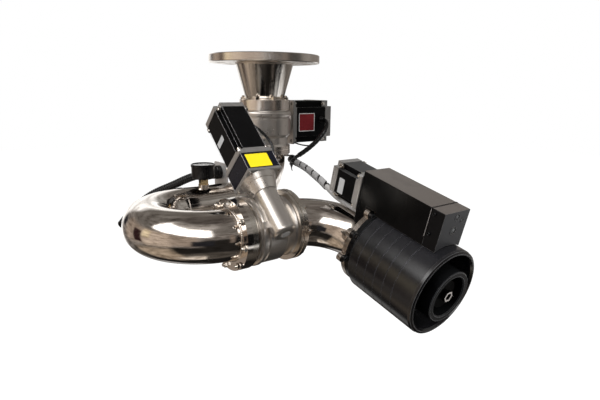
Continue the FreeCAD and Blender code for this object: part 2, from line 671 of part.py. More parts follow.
def gauge_pointer():
    hub = rod(2.2, GAUGE_TOP - 5.6, GAUGE_TOP - 4.0)
    needle = prism([(-5, -0.7), (14, -0.25), (14, 0.25), (-5, 0.7)], GAUGE_TOP - 5.3, GAUGE_TOP - 4.7)
    turn = FreeCAD.Rotation(V(0, 0, 1), 215)
    return placed(hub.fuse(needle), Placement(V(0, 0, 0), turn))


def conduit_plate():
    """Plate across the rear leg that carries the conduit gland."""
    plate = block(PLATE_X, PLATE_X + 3, -4, 42, TILT_Z + 20, CONDUIT_Z + 18)
    leg = Part.makeCylinder(TUBE_R, 400, V(-400, 0, TILT_Z), V(1, 0, 0))
    hole = Part.makeCylinder(9, 20, V(PLATE_X - 5, CONDUIT_Y, CONDUIT_Z), V(1, 0, 0))
    edges = [e for e in plate.Edges if e.BoundBox.XLength > 1 and e.BoundBox.ZMin > CONDUIT_Z]
    return plate.makeFillet(4, edges).cut(leg).cut(hole)


def conduit_gland():
    place = frame((PLATE_X, CONDUIT_Y, CONDUIT_Z), (0, 1, 0), (-1, 0, 0))
    bore = CONDUIT_R
    collar = turned([(bore, 0.0), (12.5, 0.0), (12.5, 8), (11.5, 9), (11.5, 15), (9.5, 17), (bore, 17)])
    barrel = ring(8.9, bore, -9, 0)
    lock_nut = hexagon(22, 3, 8).cut(rod(bore, 0, 20))
    lock_nut = placed(lock_nut, Placement(V(0, 0, 0), FreeCAD.Rotation(V(1, 0, 0), 180)))
    return placed(collar.fuse(barrel).fuse(lock_nut).removeSplitter(), place)


def conduit_connector():
    """Round cable connector on the conduit's far end."""
    way = (V(*CONDUIT_ROUTE[-1]) - V(*CONDUIT_ROUTE[-2])).normalize()
    turn = Placement(V(*CONDUIT_ROUTE[-1]), FreeCAD.Rotation(V(0, 0, 1), way))
    body = turned([
        (0, 0), (8.6, 0), (9.2, 0.8), (9.2, 9), (8.4, 9.6), (8.4, 10.8), (9.4, 11.4), (9.4, 19), (8.8, 20),
        (6.8, 20), (6.8, 14), (0, 14),
    ])
    return placed(body, turn)


def cable_clip():
    """P-clip that hangs the cable bundle from a bolt under the pan swivel."""
    way = (V(*HARNESS_ROUTE[0]) - V(*HARNESS_ROUTE[1])).normalize()
    start = V(*CLIP_AT) - way * 4
    loop = Part.makeCylinder(HARNESS_R + 1.5, 8, start, way).cut(Part.makeCylinder(HARNESS_R + 0.2, 8, start, way))
    bolt_low = PAN_Z - OUTLET_END - 4.6
    strap = block(24.5, 44, -36, -27, bolt_low - 1.2, bolt_low)
    drop = block(42.8, 44, -34, -27, CLIP_AT[2] + HARNESS_R + 0.5, bolt_low)
    return fused([loop, strap, drop])


# ---------------------------------------------------------------- assembly

save("inlet_flange", inlet_flange())
save("inlet_cone", inlet_cone())

loop_bolts = []
for side, place, radii, hand, reach in (
    ("pan", PAN, (PAN_COLLAR_R, PAN_BODY_R, PAN_OUTLET_R), 1, 0),
    ("tilt", TILT, (TILT_COLLAR_R, TILT_BODY_R, TILT_OUTLET_R), -1, TILT_REACH),
):
    for piece, shapes in swivel_pieces(*radii, hand, reach).items():
        shapes = [placed(shape, place) for shape in shapes]
        if f"{side}_{piece}" in ("pan_outlet_bolts", "tilt_studs"):
            loop_bolts += shapes
        else:
            save(f"{side}_{piece}", *shapes)
save("loop_bolts", *loop_bolts)

save("pan_worm", placed(worm(PAN_MOTOR_START - 2), PAN_WORM))
save("pan_worm_bell", worm_bell(PAN_MOTOR_START, 36, PAN_WORM, PAN, PAN_BODY_R))
save_motor("pan_motor", PAN_MOTOR, PAN_MOTOR_START, PAN_WORM)

save("tilt_worm", placed(worm(BLOCK_END - 2), TILT_WORM))
save("tilt_worm_bell", worm_bell(BLOCK_START, TILT_MOTOR[0] / 2 - 0.5, TILT_WORM, TILT, TILT_BODY_R))
bore = rod(7, BLOCK_START - 1, BLOCK_END + 1)
half = TILT_MOTOR[0] / 2
low_plate = block(-half, half, -half, half, BLOCK_START, BLOCK_START + BLOCK_PLATE_T).cut(bore)
high_plate = block(-half, half, -half, half, BLOCK_END - BLOCK_PLATE_T, BLOCK_END).cut(bore)
core = block(-half + 1, half - 1, -half + 1, half - 1, BLOCK_START + BLOCK_PLATE_T, BLOCK_END - BLOCK_PLATE_T).cut(bore)
save("tilt_block_plates", placed(low_plate, TILT_WORM), placed(high_plate, TILT_WORM))
save("tilt_block_core", placed(core, TILT_WORM))
save_motor("tilt_motor", TILT_MOTOR, BLOCK_END, TILT_WORM)

save("swivel_elbow", swivel_elbow())
save("rear_leg", rear_leg())
save("u_bend", u_bend())
save("outlet_elbow", outlet_elbow())

for name, shapes in {
    "lobed_flange": [lobed_flange()], "lobe_screws": lobe_screws(), "nozzle_body": [nozzle_body()],
    "inner_tube": [inner_tube()], "deflector": [deflector()], "hub_nut": [hub_nut()],
    "spray_sleeve": [spray_sleeve()], "spray_screw": [spray_screw()],
    "detector_cover": [detector_cover()], "detector_front": [detector_front()], "detector_windows": windows(),
    "detector_bracket": [bracket()],
}.items():
    save(name, *[placed(shape, NOZZLE) for shape in shapes])
spray_drive = NOZZLE.multiply(Placement(V(0, SPRAY_MOTOR_U, BOX_START), FreeCAD.Rotation(V(1, 0, 0), 180)))
save_motor("spray_motor", SPRAY_MOTOR, 0, spray_drive)

save("gauge_stem", gauge_stem())
save("gauge_case", at_gauge(gauge_case()))
save("gauge_pointer", at_gauge(gauge_pointer()))
save("gauge_glass", at_gauge(rod(GAUGE_R - 2.3, GAUGE_TOP - 2.6, GAUGE_TOP - 1)))
save("conduit_plate", conduit_plate())
save("conduit_fittings", conduit_gland(), conduit_connector())

save("cable_clips", cable_clip())
save("conduit", cord("conduit", CONDUIT_ROUTE, CONDUIT_R))
save(
    "pan_motor_leads",
    cord("pan motor lead", PAN_LEAD_ROUTE, LEAD_R),
    cord("pan earth lead", EARTH_LEAD_ROUTE, THIN_LEAD_R),
)
save("harness", cord("harness", HARNESS_ROUTE, HARNESS_R))
tilt_leads = []
for shift in (0.0, 3.2):
    route = [(half + x, y + shift * 0.5, z + shift) for x, y, z in TILT_LEAD_ROUTE]
    tilt_leads.append(placed(cord("tilt motor lead", route, THIN_LEAD_R), TILT_WORM))
save("tilt_motor_leads", *tilt_leads)
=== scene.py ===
"""Looks of the remote-controlled fire monitor: finishes, cables, welds, labels and fasteners on the frame."""
import json
import math
import bpy
import bmesh
from mathutils import Matrix, Quaternion, Vector


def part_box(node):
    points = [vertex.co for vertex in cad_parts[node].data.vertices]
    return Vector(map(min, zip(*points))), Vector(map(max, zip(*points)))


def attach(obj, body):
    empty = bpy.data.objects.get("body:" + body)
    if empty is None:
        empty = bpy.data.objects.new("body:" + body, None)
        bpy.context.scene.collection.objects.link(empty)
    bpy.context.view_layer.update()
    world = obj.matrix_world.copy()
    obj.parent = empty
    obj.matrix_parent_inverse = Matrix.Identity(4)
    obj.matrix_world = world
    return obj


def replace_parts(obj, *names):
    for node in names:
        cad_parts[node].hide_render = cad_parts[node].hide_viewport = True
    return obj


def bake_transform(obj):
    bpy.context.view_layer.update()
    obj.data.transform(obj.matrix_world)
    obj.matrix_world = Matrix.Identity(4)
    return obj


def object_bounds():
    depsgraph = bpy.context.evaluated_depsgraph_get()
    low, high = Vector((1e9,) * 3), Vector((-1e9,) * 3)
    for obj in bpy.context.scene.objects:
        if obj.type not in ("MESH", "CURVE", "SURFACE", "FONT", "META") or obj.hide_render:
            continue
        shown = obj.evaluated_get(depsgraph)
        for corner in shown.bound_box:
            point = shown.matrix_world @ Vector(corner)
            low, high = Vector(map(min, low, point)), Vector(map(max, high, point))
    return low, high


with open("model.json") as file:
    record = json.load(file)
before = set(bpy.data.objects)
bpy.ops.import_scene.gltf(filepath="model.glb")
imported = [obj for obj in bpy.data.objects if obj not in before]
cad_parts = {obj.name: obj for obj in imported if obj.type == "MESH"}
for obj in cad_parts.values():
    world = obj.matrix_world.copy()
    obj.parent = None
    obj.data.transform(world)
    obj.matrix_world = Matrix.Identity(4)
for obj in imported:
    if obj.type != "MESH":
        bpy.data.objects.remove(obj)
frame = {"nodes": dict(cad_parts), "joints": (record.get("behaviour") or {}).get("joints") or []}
CAD_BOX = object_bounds()
JOINTS = {joint["name"]: joint for joint in frame["joints"]}
X, Y, Z = Vector((1, 0, 0)), Vector((0, 1, 0)), Vector((0, 0, 1))
MM = 0.001


# -------- places, all from the frame

def centre(node):
    """Middle of a node's box."""
    low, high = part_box(node)
    return (low + high) / 2


def axes_at(origin, x_dir, z_dir):
    """Matrix of a local frame with that origin, X and Z directions."""
    z = Vector(z_dir).normalized()
    y = z.cross(Vector(x_dir)).normalized()
    x = y.cross(z)
    place = Matrix((x, y, z)).transposed().to_4x4()
    place.translation = origin
    return place


TILT_AT = Vector(JOINTS["tilt_swivel"]["pos_m"])
NOZZLE_DIR = Vector(JOINTS["spray_slide"]["axis"])
NOZZLE = axes_at(Vector((centre("hub_nut").x, TILT_AT.y, TILT_AT.z)), X, NOZZLE_DIR)
DRIVE_DIR = Vector(JOINTS["tilt_worm_turn"]["axis"])
DRIVE = axes_at(Vector(JOINTS["tilt_worm_turn"]["pos_m"]), X, DRIVE_DIR)
PAN_DRIVE = axes_at(Vector(JOINTS["pan_worm_turn"]["pos_m"]), Z, X)
PAN_FLOW = axes_at(Vector(JOINTS["pan_swivel"]["pos_m"]), Y, -Z)
TILT_FLOW = axes_at(TILT_AT, X.cross(DRIVE_DIR), X)


def local(place, x, y, z):
    """Point given in millimetres in a local frame."""
    return place @ (Vector((x, y, z)) * MM)


def way(place, direction):
    """Direction given in a local frame."""
    return (place.to_3x3() @ Vector(direction)).normalized()


# -------- shader helpers

class Signal:
    """Value that a node puts out, ready for arithmetic in its tree."""

    def __init__(self, tree, socket):
        self.tree, self.socket = tree, socket

    def __add__(self, other):
        return maths(self.tree, "ADD", self, other)

    def __sub__(self, other):
        return maths(self.tree, "SUBTRACT", self, other)

    def __rsub__(self, other):
        return maths(self.tree, "SUBTRACT", other, self)

    def __mul__(self, other):
        return maths(self.tree, "MULTIPLY", self, other)

    def __truediv__(self, other):
        return maths(self.tree, "DIVIDE", self, other)

    def clamped(self):
        """The same value, held between 0 and 1."""
        return maths(self.tree, "ADD", self, 0.0, clamp=True)


def feed(tree, socket, value):
    """Links a value to a socket, or sets it there."""
    value = getattr(value, "socket", value)
    if isinstance(value, bpy.types.NodeSocket):
        tree.links.new(value, socket)
    else:
        socket.default_value = value


def put(tree, kind, inputs=None, **settings):
    """Adds a node, sets its properties, and sets or links its inputs."""
    node = tree.nodes.new(kind)
    for name, value in settings.items():
        setattr(node, name, value)
    for key, value in (inputs or {}).items():
        feed(tree, node.inputs[key], value)
    return node


def maths(tree, operation, *values, clamp=False):
    node = put(tree, "ShaderNodeMath", dict(enumerate(values)), operation=operation, use_clamp=clamp)
    return Signal(tree, node.outputs[0])


def dot(tree, first, second):
    """Dot product of two vectors."""
    node = put(tree, "ShaderNodeVectorMath", {0: first, 1: second}, operation="DOT_PRODUCT")
    return Signal(tree, node.outputs["Value"])


def noise(tree, coords, scale, detail, **more):
    node = put(tree, "ShaderNodeTexNoise", {"Vector": coords, "Scale": scale, "Detail": detail, **more})
    return Signal(tree, node.outputs["Fac"])


def ramp(tree, factor, stops):
    """Colour ramp from (position, colour) stops."""
    node = put(tree, "ShaderNodeValToRGB", {"Fac": factor})
    elements = node.color_ramp.elements
    while len(elements) < len(stops):
        elements.new(0.5)
    for element, (position, colour) in zip(elements, stops):
        element.position = position
        element.color = (*colour, 1)
    return node.outputs["Color"]


def mixed(tree, factor, first, second, blend="MIX"):
    """Colour between first and second, by factor."""
    node = put(tree, "ShaderNodeMix", data_type="RGBA", blend_type=blend)
    for socket, value in zip((node.inputs[0], node.inputs[6], node.inputs[7]), (factor, first, second)):
        feed(tree, socket, (*value, 1) if isinstance(value, (tuple, list)) else value)
    return node.outputs[2]


def band(tree, value, low, high, soft):
    """1 where value lies between low and high, with soft sides."""
    rise, fall = (
        put(tree, "ShaderNodeMapRange", {"Value": value, 1: start, 2: stop}, interpolation_type="SMOOTHSTEP")
        for start, stop in ((low - soft, low + soft), (high + soft, high - soft)))
    return Signal(tree, rise.outputs[0]) * fall.outputs[0]


def given_by(tree):
    """Inputs of a group, by name."""
    sockets = put(tree, "NodeGroupInput").outputs
    return {socket.name: Signal(tree, socket) for socket in sockets if socket.name}


def shader_group(name, output, build, **inputs):
    """Node group with named inputs and one named output, built once."""
    group = bpy.data.node_groups.new(name, "ShaderNodeTree")
    for label, value in inputs.items():
        kind = "NodeSocketVector" if isinstance(value, tuple) else "NodeSocketFloat"
        group.interface.new_socket(label, in_out="INPUT", socket_type=kind).default_value = value
    group.interface.new_socket(output, in_out="OUTPUT", socket_type="NodeSocketFloat")
    put(group, "NodeGroupOutput", {output: build(group, given_by(group))})
    return group


def object_coords(tree):
    return put(tree, "ShaderNodeTexCoord").outputs["Object"]


def build_wear(tree, given):
    """1 on outside edges, 0 on the flats, broken up by noise."""
    soft = put(tree, "ShaderNodeBevel", {"Radius": given["Radius"]}, samples=4)
    turn = dot(tree, soft.outputs[0], put(tree, "ShaderNodeNewGeometry").outputs["Normal"])
    edge = ((1.0 - turn) * 6.0).clamped()
    broken = (edge * (noise(tree, object_coords(tree), 260.0, 3.0) * 1.6 - 0.2)).clamped()
    return (broken * given["Amount"]).clamped()


def build_patches(tree, given):
    """Soft blotches of two sizes, about 0.5 on average."""
    coords = object_coords(tree)
    large = noise(tree, coords, given["Scale"], 4.0, Distortion=0.6)
    small = noise(tree, coords, given["Scale"] * 7.0, 5.0)
    return ((small * 0.4 + large * 0.6 - 0.5) * given["Contrast"] + 0.5).clamped()


def build_lines(tree, given):
    """Fine parallel tool lines, one level along planes square to Direction, with uneven depth."""
    along = dot(tree, object_coords(tree), given["Direction"])
    place = put(tree, "ShaderNodeCombineXYZ", {0: along / given["Pitch"]}).outputs[0]
    return noise(tree, place, 1.0, 6.0, Roughness=0.75)


def build_blast(tree, given):
    """Bead-blasted or cast skin: small even pits."""
    coords = object_coords(tree)
    pits = put(tree, "ShaderNodeTexVoronoi", {"Vector": coords, "Scale": given["Scale"]}).outputs["Distance"]
    return noise(tree, coords, given["Scale"] * 1.7, 2.0) + pits


def build_facing(tree, given):
    """1 where the surface faces Direction at rest, 0 from the sides."""
    turn = dot(tree, put(tree, "ShaderNodeTexCoord").outputs["Normal"], given["Direction"])
    return ((turn - 0.55) * 4.0).clamped()


def build_ripple(tree, given):
    """Slow waves that hand polishing leaves, with finer drag marks over them."""
    coords = object_coords(tree)
    drag = put(tree, "ShaderNodeMapping", {"Vector": coords, "Scale": (1.0, 3.0, 9.0)}).outputs[0]
    marks = noise(tree, drag, given["Scale"] * 2.5, 6.0, Roughness=0.7)
    return marks * 0.12 + noise(tree, coords, given["Scale"], 2.0)


def build_streaks(tree, given):
    """Drawing marks that run down a cone about Z: uneven round it, long the other way. On the drawn cone they
    also darken its colour in streaks, as painted reflection.
    """
    parts = put(tree, "ShaderNodeSeparateXYZ", {0: object_coords(tree)}).outputs
    x, y, z = (Signal(tree, part) for part in parts)
    turn = maths(tree, "ARCTAN2", y, x)
    place = put(tree, "ShaderNodeCombineXYZ", {0: turn * given["Count"], 1: z * 14.0}).outputs[0]
    return noise(tree, place, 1.0, 5.0, Roughness=0.65)


WEAR = shader_group("edge wear", "Mask", build_wear, Radius=0.0006, Amount=1.0)
PATCHES = shader_group("patches", "Mask", build_patches, Scale=14.0, Contrast=1.0)
FACING = shader_group("facing", "Mask", build_facing, Direction=(0, 0, 1))
LINES = shader_group("tool lines", "Height", build_lines, Direction=(0, 0, 1), Pitch=0.0004)
BLAST = shader_group("blasted skin", "Height", build_blast, Scale=1400.0)
RIPPLE = shader_group("polishing ripple", "Height", build_ripple, Scale=28.0)
STREAKS = shader_group("drawing marks", "Height", build_streaks, Count=9.0)


def use(tree, group, **values):
    """What a group puts out in this tree, with its own values."""
    return Signal(tree, put(tree, "ShaderNodeGroup", values, node_tree=group).outputs[0])


# a relief is a height group, its values, the bump's strength and the bump's depth in millimetres

def lines(direction, pitch, strength, depth):
    return LINES, {"Direction": tuple(direction), "Pitch": pitch}, strength, depth


def blast(scale, strength, depth):
    return BLAST, {"Scale": scale}, strength, depth


def finish_of(name, colour, rough=(0.2, 0.3), patches=14.0, shade=0.12, worn=None, faced=(), relief=None,
              **surface):
    """Principled material. Its colour varies by shade in patches, its roughness between rough's two values.

    worn is the (colour, amount, width in millimetres) of its bare edges. faced lists (direction, colour,
    amount) of painted light: a lighter colour on the sides that face that way, standing in for the light
    and sheen that fall there. surface holds the shader's other inputs.
    """
    material = bpy.data.materials.new(name)
    material.use_nodes = True
    tree = material.node_tree
    shader = tree.nodes["Principled BSDF"]
    for label, value in surface.items():
        shader.inputs[label.replace("_", " ")].default_value = value
    patchy = use(tree, PATCHES, Scale=patches, Contrast=1.6)
    high = [min(1.0, c * (1 + shade)) for c in colour]
    tint = mixed(tree, patchy, [c * (1 - shade) for c in colour], high)
    # the drawing marks also darken the colour in streaks round the cone: painted reflection streaks on top of
    # the real marks
    if relief and relief[0] == STREAKS:
        tint = mixed(tree, use(tree, STREAKS, **relief[1]), [c * 0.3 for c in colour], high)
    # painted light: each side that faces its direction is lightened towards its colour, as painted light and
    # sheen
    for direction, film, amount in faced:
        cover = use(tree, FACING, Direction=tuple(direction)) * (patchy * (amount * 0.7) + amount * 0.65)
        tint = mixed(tree, cover.clamped(), tint, film)
    if worn:
        mask = use(tree, WEAR, Radius=worn[2] * MM, Amount=worn[1])
        tint = mixed(tree, mask, tint, worn[0])
        feed(tree, shader.inputs["Metallic"], maths(tree, "MAXIMUM", mask, surface.get("Metallic", 0.0)))
    feed(tree, shader.inputs["Base Color"], tint)
    feed(tree, shader.inputs["Roughness"], patchy * (rough[1] - rough[0]) + rough[0])
    if relief:
        group, values, strength, depth = relief
        bump = put(tree, "ShaderNodeBump", {
            "Strength": strength, "Distance": depth * MM, "Height": use(tree, group, **values)})
        feed(tree, shader.inputs["Normal"], bump.outputs[0])
    return material


# -------- finishes

UP = (0, 0, 1)
# painted sheen: lightens the upward-facing tops of the black cover and front, standing in for the sheen of the
# light from above
PAINTED_TOP_SHEEN = (0.10, 0.088, 0.08)
POLISHED = finish_of(
    "polished steel", (0.68, 0.63, 0.585), rough=(0.05, 0.13), patches=16.0, shade=0.07,
    relief=(RIPPLE, {"Scale": 26.0}, 0.5, 0.5), Metallic=1.0)
# its colour carries painted reflection streaks from the drawing marks
DRAWN = finish_of(
    "drawn cone", (0.80, 0.75, 0.69), rough=(0.04, 0.12), patches=30.0, shade=0.08,
    relief=(STREAKS, {"Count": 14.0}, 0.5, 0.4), Metallic=1.0)
WELDED = finish_of(
    "weld bead", (0.60, 0.55, 0.50), rough=(0.16, 0.28), patches=120.0, shade=0.15,
    relief=blast(1600.0, 0.3, 0.08), Metallic=1.0)
TURNED_Z = finish_of(
    "turned steel, about the inlet", (0.84, 0.785, 0.73), rough=(0.22, 0.29), shade=0.06,
    relief=lines(UP, 0.0012, 0.5, 0.15), Metallic=1.0)
TURNED_X = finish_of(
    "turned steel, about the tilt axis", (0.72, 0.67, 0.61), rough=(0.14, 0.24), shade=0.08,
    relief=lines(X, 0.0012, 0.5, 0.3), Metallic=1.0)
MILLED = finish_of(
    "milled plate", (0.70, 0.63, 0.57), rough=(0.16, 0.28), shade=0.08, relief=blast(2200.0, 0.15, 0.05),
    Metallic=1.0)
BLASTED = finish_of(
    "blasted casting", (0.58, 0.545, 0.51), rough=(0.24, 0.34), patches=26.0, shade=0.1,
    worn=((0.75, 0.72, 0.68), 0.5, 0.9), relief=blast(1300.0, 0.35, 0.12), Metallic=0.88)
FASTENER = finish_of(
    "stainless fastener", (0.78, 0.74, 0.69), rough=(0.1, 0.2), patches=60.0, shade=0.08, Metallic=1.0)
BRONZE = finish_of("machined bronze", (0.62, 0.42, 0.2), rough=(0.25, 0.4), shade=0.1, Metallic=1.0)
BRASS = finish_of(
    "bright brass", (0.80, 0.64, 0.38), rough=(0.12, 0.25), patches=60.0, shade=0.08, Metallic=1.0)
CAST_ALLOY = finish_of(
    "cast alloy plate", (0.50, 0.495, 0.49), rough=(0.28, 0.4), patches=30.0, shade=0.12,
    worn=((0.8, 0.79, 0.77), 0.7, 0.6), relief=blast(1500.0, 0.35, 0.12), Metallic=0.85)
BARE = finish_of("bare arris", (0.62, 0.61, 0.62), rough=(0.2, 0.35), patches=220.0, shade=0.3, Metallic=0.7)


def enamel(name, direction, faced=()):
    """Black enamel over steel laminations stacked along direction."""
    # the worn edges are partly bare metal and partly painted highlight: the light lines along the motors'
    # edges
    return finish_of(
        name, (0.003, 0.003, 0.0033), rough=(0.3, 0.44), patches=40.0, shade=0.4,
        worn=((0.50, 0.49, 0.48), 0.5, 0.5), faced=faced, relief=lines(direction, 0.0008, 0.3, 0.1),
        Specular_IOR_Level=0.08)


ENAMEL_PAN = enamel("black enamel, pan motor", X)
ENAMEL_DRIVE = enamel("black enamel, tilt motor", DRIVE_DIR)
# the spray motor's top is lightened: painted sheen from the light above
ENAMEL_SPRAY = enamel("black enamel, spray motor", NOZZLE_DIR, [(UP, (0.05, 0.05, 0.05), 0.8)])
BLOCK_COAT = finish_of(
    "black anodised block", (0.006, 0.007, 0.013), rough=(0.2, 0.3), shade=0.2,
    worn=((0.6, 0.6, 0.6), 0.8, 0.7), Specular_IOR_Level=0.2)
# painted light: the upward-facing side is lightened as a painted sheen, and the groove edges are partly bare
# metal, partly painted highlight dashes along the grooves
SLEEVE_COAT = finish_of(
    "black anodised sleeve", (0.0045, 0.0045, 0.0055), rough=(0.17, 0.28), patches=34.0, shade=0.5,
    worn=((0.55, 0.55, 0.6), 0.9, 0.4), faced=[(UP, (0.024, 0.024, 0.028), 0.5)],
    relief=lines(NOZZLE_DIR, 0.0009, 0.4, 0.12), Specular_IOR_Level=0.65)
COVER_COAT = finish_of(
    "black satin cover", (0.0035, 0.0035, 0.0035), rough=(0.14, 0.26), patches=9.0, shade=0.25,
    worn=((0.35, 0.33, 0.32), 0.7, 0.5), faced=[(UP, PAINTED_TOP_SHEEN, 1.0)], relief=blast(2600.0, 0.1, 0.04),
    Specular_IOR_Level=0.16)
# painted light: the faces that look out along the nozzle are lightened because that side catches more light,
# and the top carries the painted top sheen
FRONT_COAT = finish_of(
    "dark grey front", (0.004, 0.004, 0.0045), rough=(0.3, 0.42), patches=60.0, shade=0.25,
    worn=((0.5, 0.5, 0.5), 0.7, 0.6), faced=[(UP, PAINTED_TOP_SHEEN, 1.0), (NOZZLE_DIR, (0.048, 0.049, 0.053), 1.0)],
    relief=blast(2600.0, 0.15, 0.05), Specular_IOR_Level=0.16)
# painted light: the upward-facing lower inner wall and the faces that look out of the nozzle are lightened
# where light falls into the mouth
BORE_COAT = finish_of(
    "black bore", (0.0022, 0.0022, 0.0026), rough=(0.12, 0.24), shade=0.3,
    worn=((0.2, 0.21, 0.22), 0.9, 0.9),
    faced=[(NOZZLE_DIR, (0.022, 0.0235, 0.026), 1.0), (UP, (0.012, 0.013, 0.014), 0.5)],
    relief=blast(1800.0, 0.12, 0.06), Specular_IOR_Level=0.3)
BRIGHT = finish_of(
    "bright hub", (0.80, 0.76, 0.74), rough=(0.25, 0.4), patches=220.0, shade=0.15, Metallic=0.25)
LIP = finish_of("worn lip", (0.10, 0.105, 0.11), rough=(0.18, 0.28), patches=150.0, shade=0.35, Metallic=0.3)
# painted shade: matt black standing in for the dark of the hub's recess and of the deflector deep in the
# nozzle
PAINTED_SHADE_BLACK = finish_of(
    "matt black inside", (0.002, 0.002, 0.002), rough=(0.5, 0.6), shade=0.3, relief=blast(1500.0, 0.1, 0.06),
    Specular_IOR_Level=0.06)
MOULDED = finish_of(
    "moulded black", (0.004, 0.004, 0.0045), rough=(0.16, 0.28), shade=0.3, relief=blast(1800.0, 0.1, 0.05),
    Specular_IOR_Level=0.3)
SHEATH = finish_of(
    "black cable sheath", (0.004, 0.004, 0.0045), rough=(0.2, 0.34), patches=80.0, shade=0.3,
    Specular_IOR_Level=0.4)
PVC = finish_of(
    "glossy black lead", (0.002, 0.002, 0.0025), rough=(0.16, 0.26), patches=60.0, shade=0.3,
    Specular_IOR_Level=0.6)
PLUG = finish_of(
    "satin plug", (0.62, 0.61, 0.60), rough=(0.3, 0.42), patches=120.0, shade=0.1,
    relief=blast(2000.0, 0.2, 0.06), Metallic=0.45)
WRAP_GREY = finish_of(
    "grey spiral wrap", (0.34, 0.335, 0.335), rough=(0.3, 0.45), patches=90.0, shade=0.15,
    Specular_IOR_Level=0.4)
JACKET_GREY = finish_of("grey cable jacket", (0.42, 0.41, 0.40), rough=(0.25, 0.4), patches=90.0, shade=0.12)
TIE_BLACK = finish_of("nylon tie", (0.05, 0.05, 0.052), rough=(0.3, 0.42), patches=90.0, shade=0.2)
LENS = finish_of("grey lens", (0.085, 0.09, 0.095), rough=(0.22, 0.3), patches=120.0, shade=0.2)
DIAL = finish_of("dial card", (0.66, 0.65, 0.64), rough=(0.5, 0.6), shade=0.03)
INK = finish_of("black ink", (0.01, 0.01, 0.01), rough=(0.5, 0.6), shade=0.0)
CLEAR = finish_of(
    "clear glass", (1.0, 1.0, 1.0), rough=(0.0, 0.02), shade=0.0, Transmission_Weight=1.0, IOR=1.1)
YELLOW_FILM = finish_of(
    "yellow film", (0.86, 0.68, 0.006), rough=(0.3, 0.4), patches=70.0, shade=0.03, Specular_IOR_Level=0.2)
WHITE_FILM = finish_of(
    "white film", (0.60, 0.60, 0.60), rough=(0.3, 0.4), patches=70.0, shade=0.1, Specular_IOR_Level=0.3)
RED_FILM = finish_of(
    "red film", (0.17, 0.016, 0.02), rough=(0.2, 0.3), patches=60.0, shade=0.3, Specular_IOR_Level=0.4)

NODE_FINISH = {
    POLISHED: "swivel_elbow rear_leg u_bend outlet_elbow tilt_collar",
    DRAWN: "inlet_cone",
    TURNED_Z: "inlet_flange pan_collar pan_sleeve pan_outlet_flange",
    TURNED_X: "tilt_sleeve tilt_outlet_flange",
    MILLED: "lobed_flange detector_bracket",
    BLASTED: "pan_bearing_cap tilt_bearing_cap pan_housing tilt_housing pan_worm_bell tilt_worm_bell",
    FASTENER: "pan_studs loop_bolts tilt_outlet_bolts lobe_screws hub_nut pan_worm tilt_worm spray_screw",
    BRONZE: "pan_worm_wheel tilt_worm_wheel pan_bush tilt_bush",
    BRASS: "gauge_stem",
    PLUG: "pan_worm_plug tilt_worm_plug conduit_plate",
    CAST_ALLOY: "pan_motor_end_plates tilt_motor_end_plates spray_motor_end_plates tilt_block_plates",
    ENAMEL_PAN: "pan_motor_body",
    ENAMEL_DRIVE: "tilt_motor_body",
    ENAMEL_SPRAY: "spray_motor_body",
    BLOCK_COAT: "tilt_block_core",
    SLEEVE_COAT: "spray_sleeve",
    BORE_COAT: "nozzle_body inner_tube",
    PAINTED_SHADE_BLACK: "deflector",
    COVER_COAT: "detector_cover",
    FRONT_COAT: "detector_front",
    MOULDED: "gauge_case conduit_fittings gauge_pointer cable_clips",
    SHEATH: "conduit pan_motor_leads tilt_motor_leads harness",
    LENS: "detector_windows",
    CLEAR: "gauge_glass",
}
for material, names in NODE_FINISH.items():
    for name in names.split():
        for cad_slot in frame["nodes"][name].material_slots:
            cad_slot.material = material


# -------- pieces and Geometry Nodes

def object_of(data, name):
    """New object in the scene."""
    thing = bpy.data.objects.new(name, data)
    bpy.context.scene.collection.objects.link(thing)
    return thing


def plain_mesh(thing):
    """An object's finished mesh; the object itself goes."""
    graph = bpy.context.evaluated_depsgraph_get()
    mesh = bpy.data.meshes.new_from_object(thing.evaluated_get(graph), depsgraph=graph)
    bpy.data.objects.remove(thing)
    return mesh


def mesh_of(work):
    """Mesh from finished bmesh work."""
    mesh = bpy.data.meshes.new("part")
    work.to_mesh(mesh)
    work.free()
    return mesh


def painted(mesh, material):
    """The mesh, all in one material."""
    mesh.materials.clear()
    mesh.materials.append(material)
    return mesh


def piece(name, mesh, body):
    """Finished object that rides on a body."""
    mesh.name = name
    thing = object_of(mesh, name)
    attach(thing, body)
    return thing


def merged(meshes):
    """One mesh from several, materials kept."""
    whole = bmesh.new()
    materials = []
    for mesh in meshes:
        first = len(whole.faces)
        whole.from_mesh(mesh)
        whole.faces.ensure_lookup_table()
        for face in whole.faces[first:]:
            material = mesh.materials[face.material_index] if mesh.materials else None
            if material not in materials:
                materials.append(material)
            face.material_index = materials.index(material)
    result = mesh_of(whole)
    for material in materials:
        result.materials.append(material)
    return result


def geometry_tree(name, build, **inputs):
    """Geometry Nodes tree: geometry in, named inputs for its sizes, plain shaded mesh out."""
    tree = bpy.data.node_groups.new(name, "GeometryNodeTree")
    for in_out in ("INPUT", "OUTPUT"):
        tree.interface.new_socket("Geometry", in_out=in_out, socket_type="NodeSocketGeometry")
    kinds = {float: "NodeSocketFloat", int: "NodeSocketInt", tuple: "NodeSocketVector"}
    for label, value in inputs.items():
        kind = kinds.get(type(value), "NodeSocketObject")
        socket = tree.interface.new_socket(label, in_out="INPUT", socket_type=kind)
        if value is not None:
            socket.default_value = value
    tree.interface.new_socket("Material", in_out="INPUT", socket_type="NodeSocketMaterial")
    given = given_by(tree)
    smooth = put(tree, "GeometryNodeSetShadeSmooth", {"Geometry": build(tree, given)}).outputs[0]
    real = put(tree, "GeometryNodeRealizeInstances", {"Geometry": smooth}).outputs[0]
    coated = put(tree, "GeometryNodeSetMaterial", {"Geometry": real, "Material": given["Material"]}).outputs[0]
    put(tree, "NodeGroupOutput", {0: coated})
    return tree


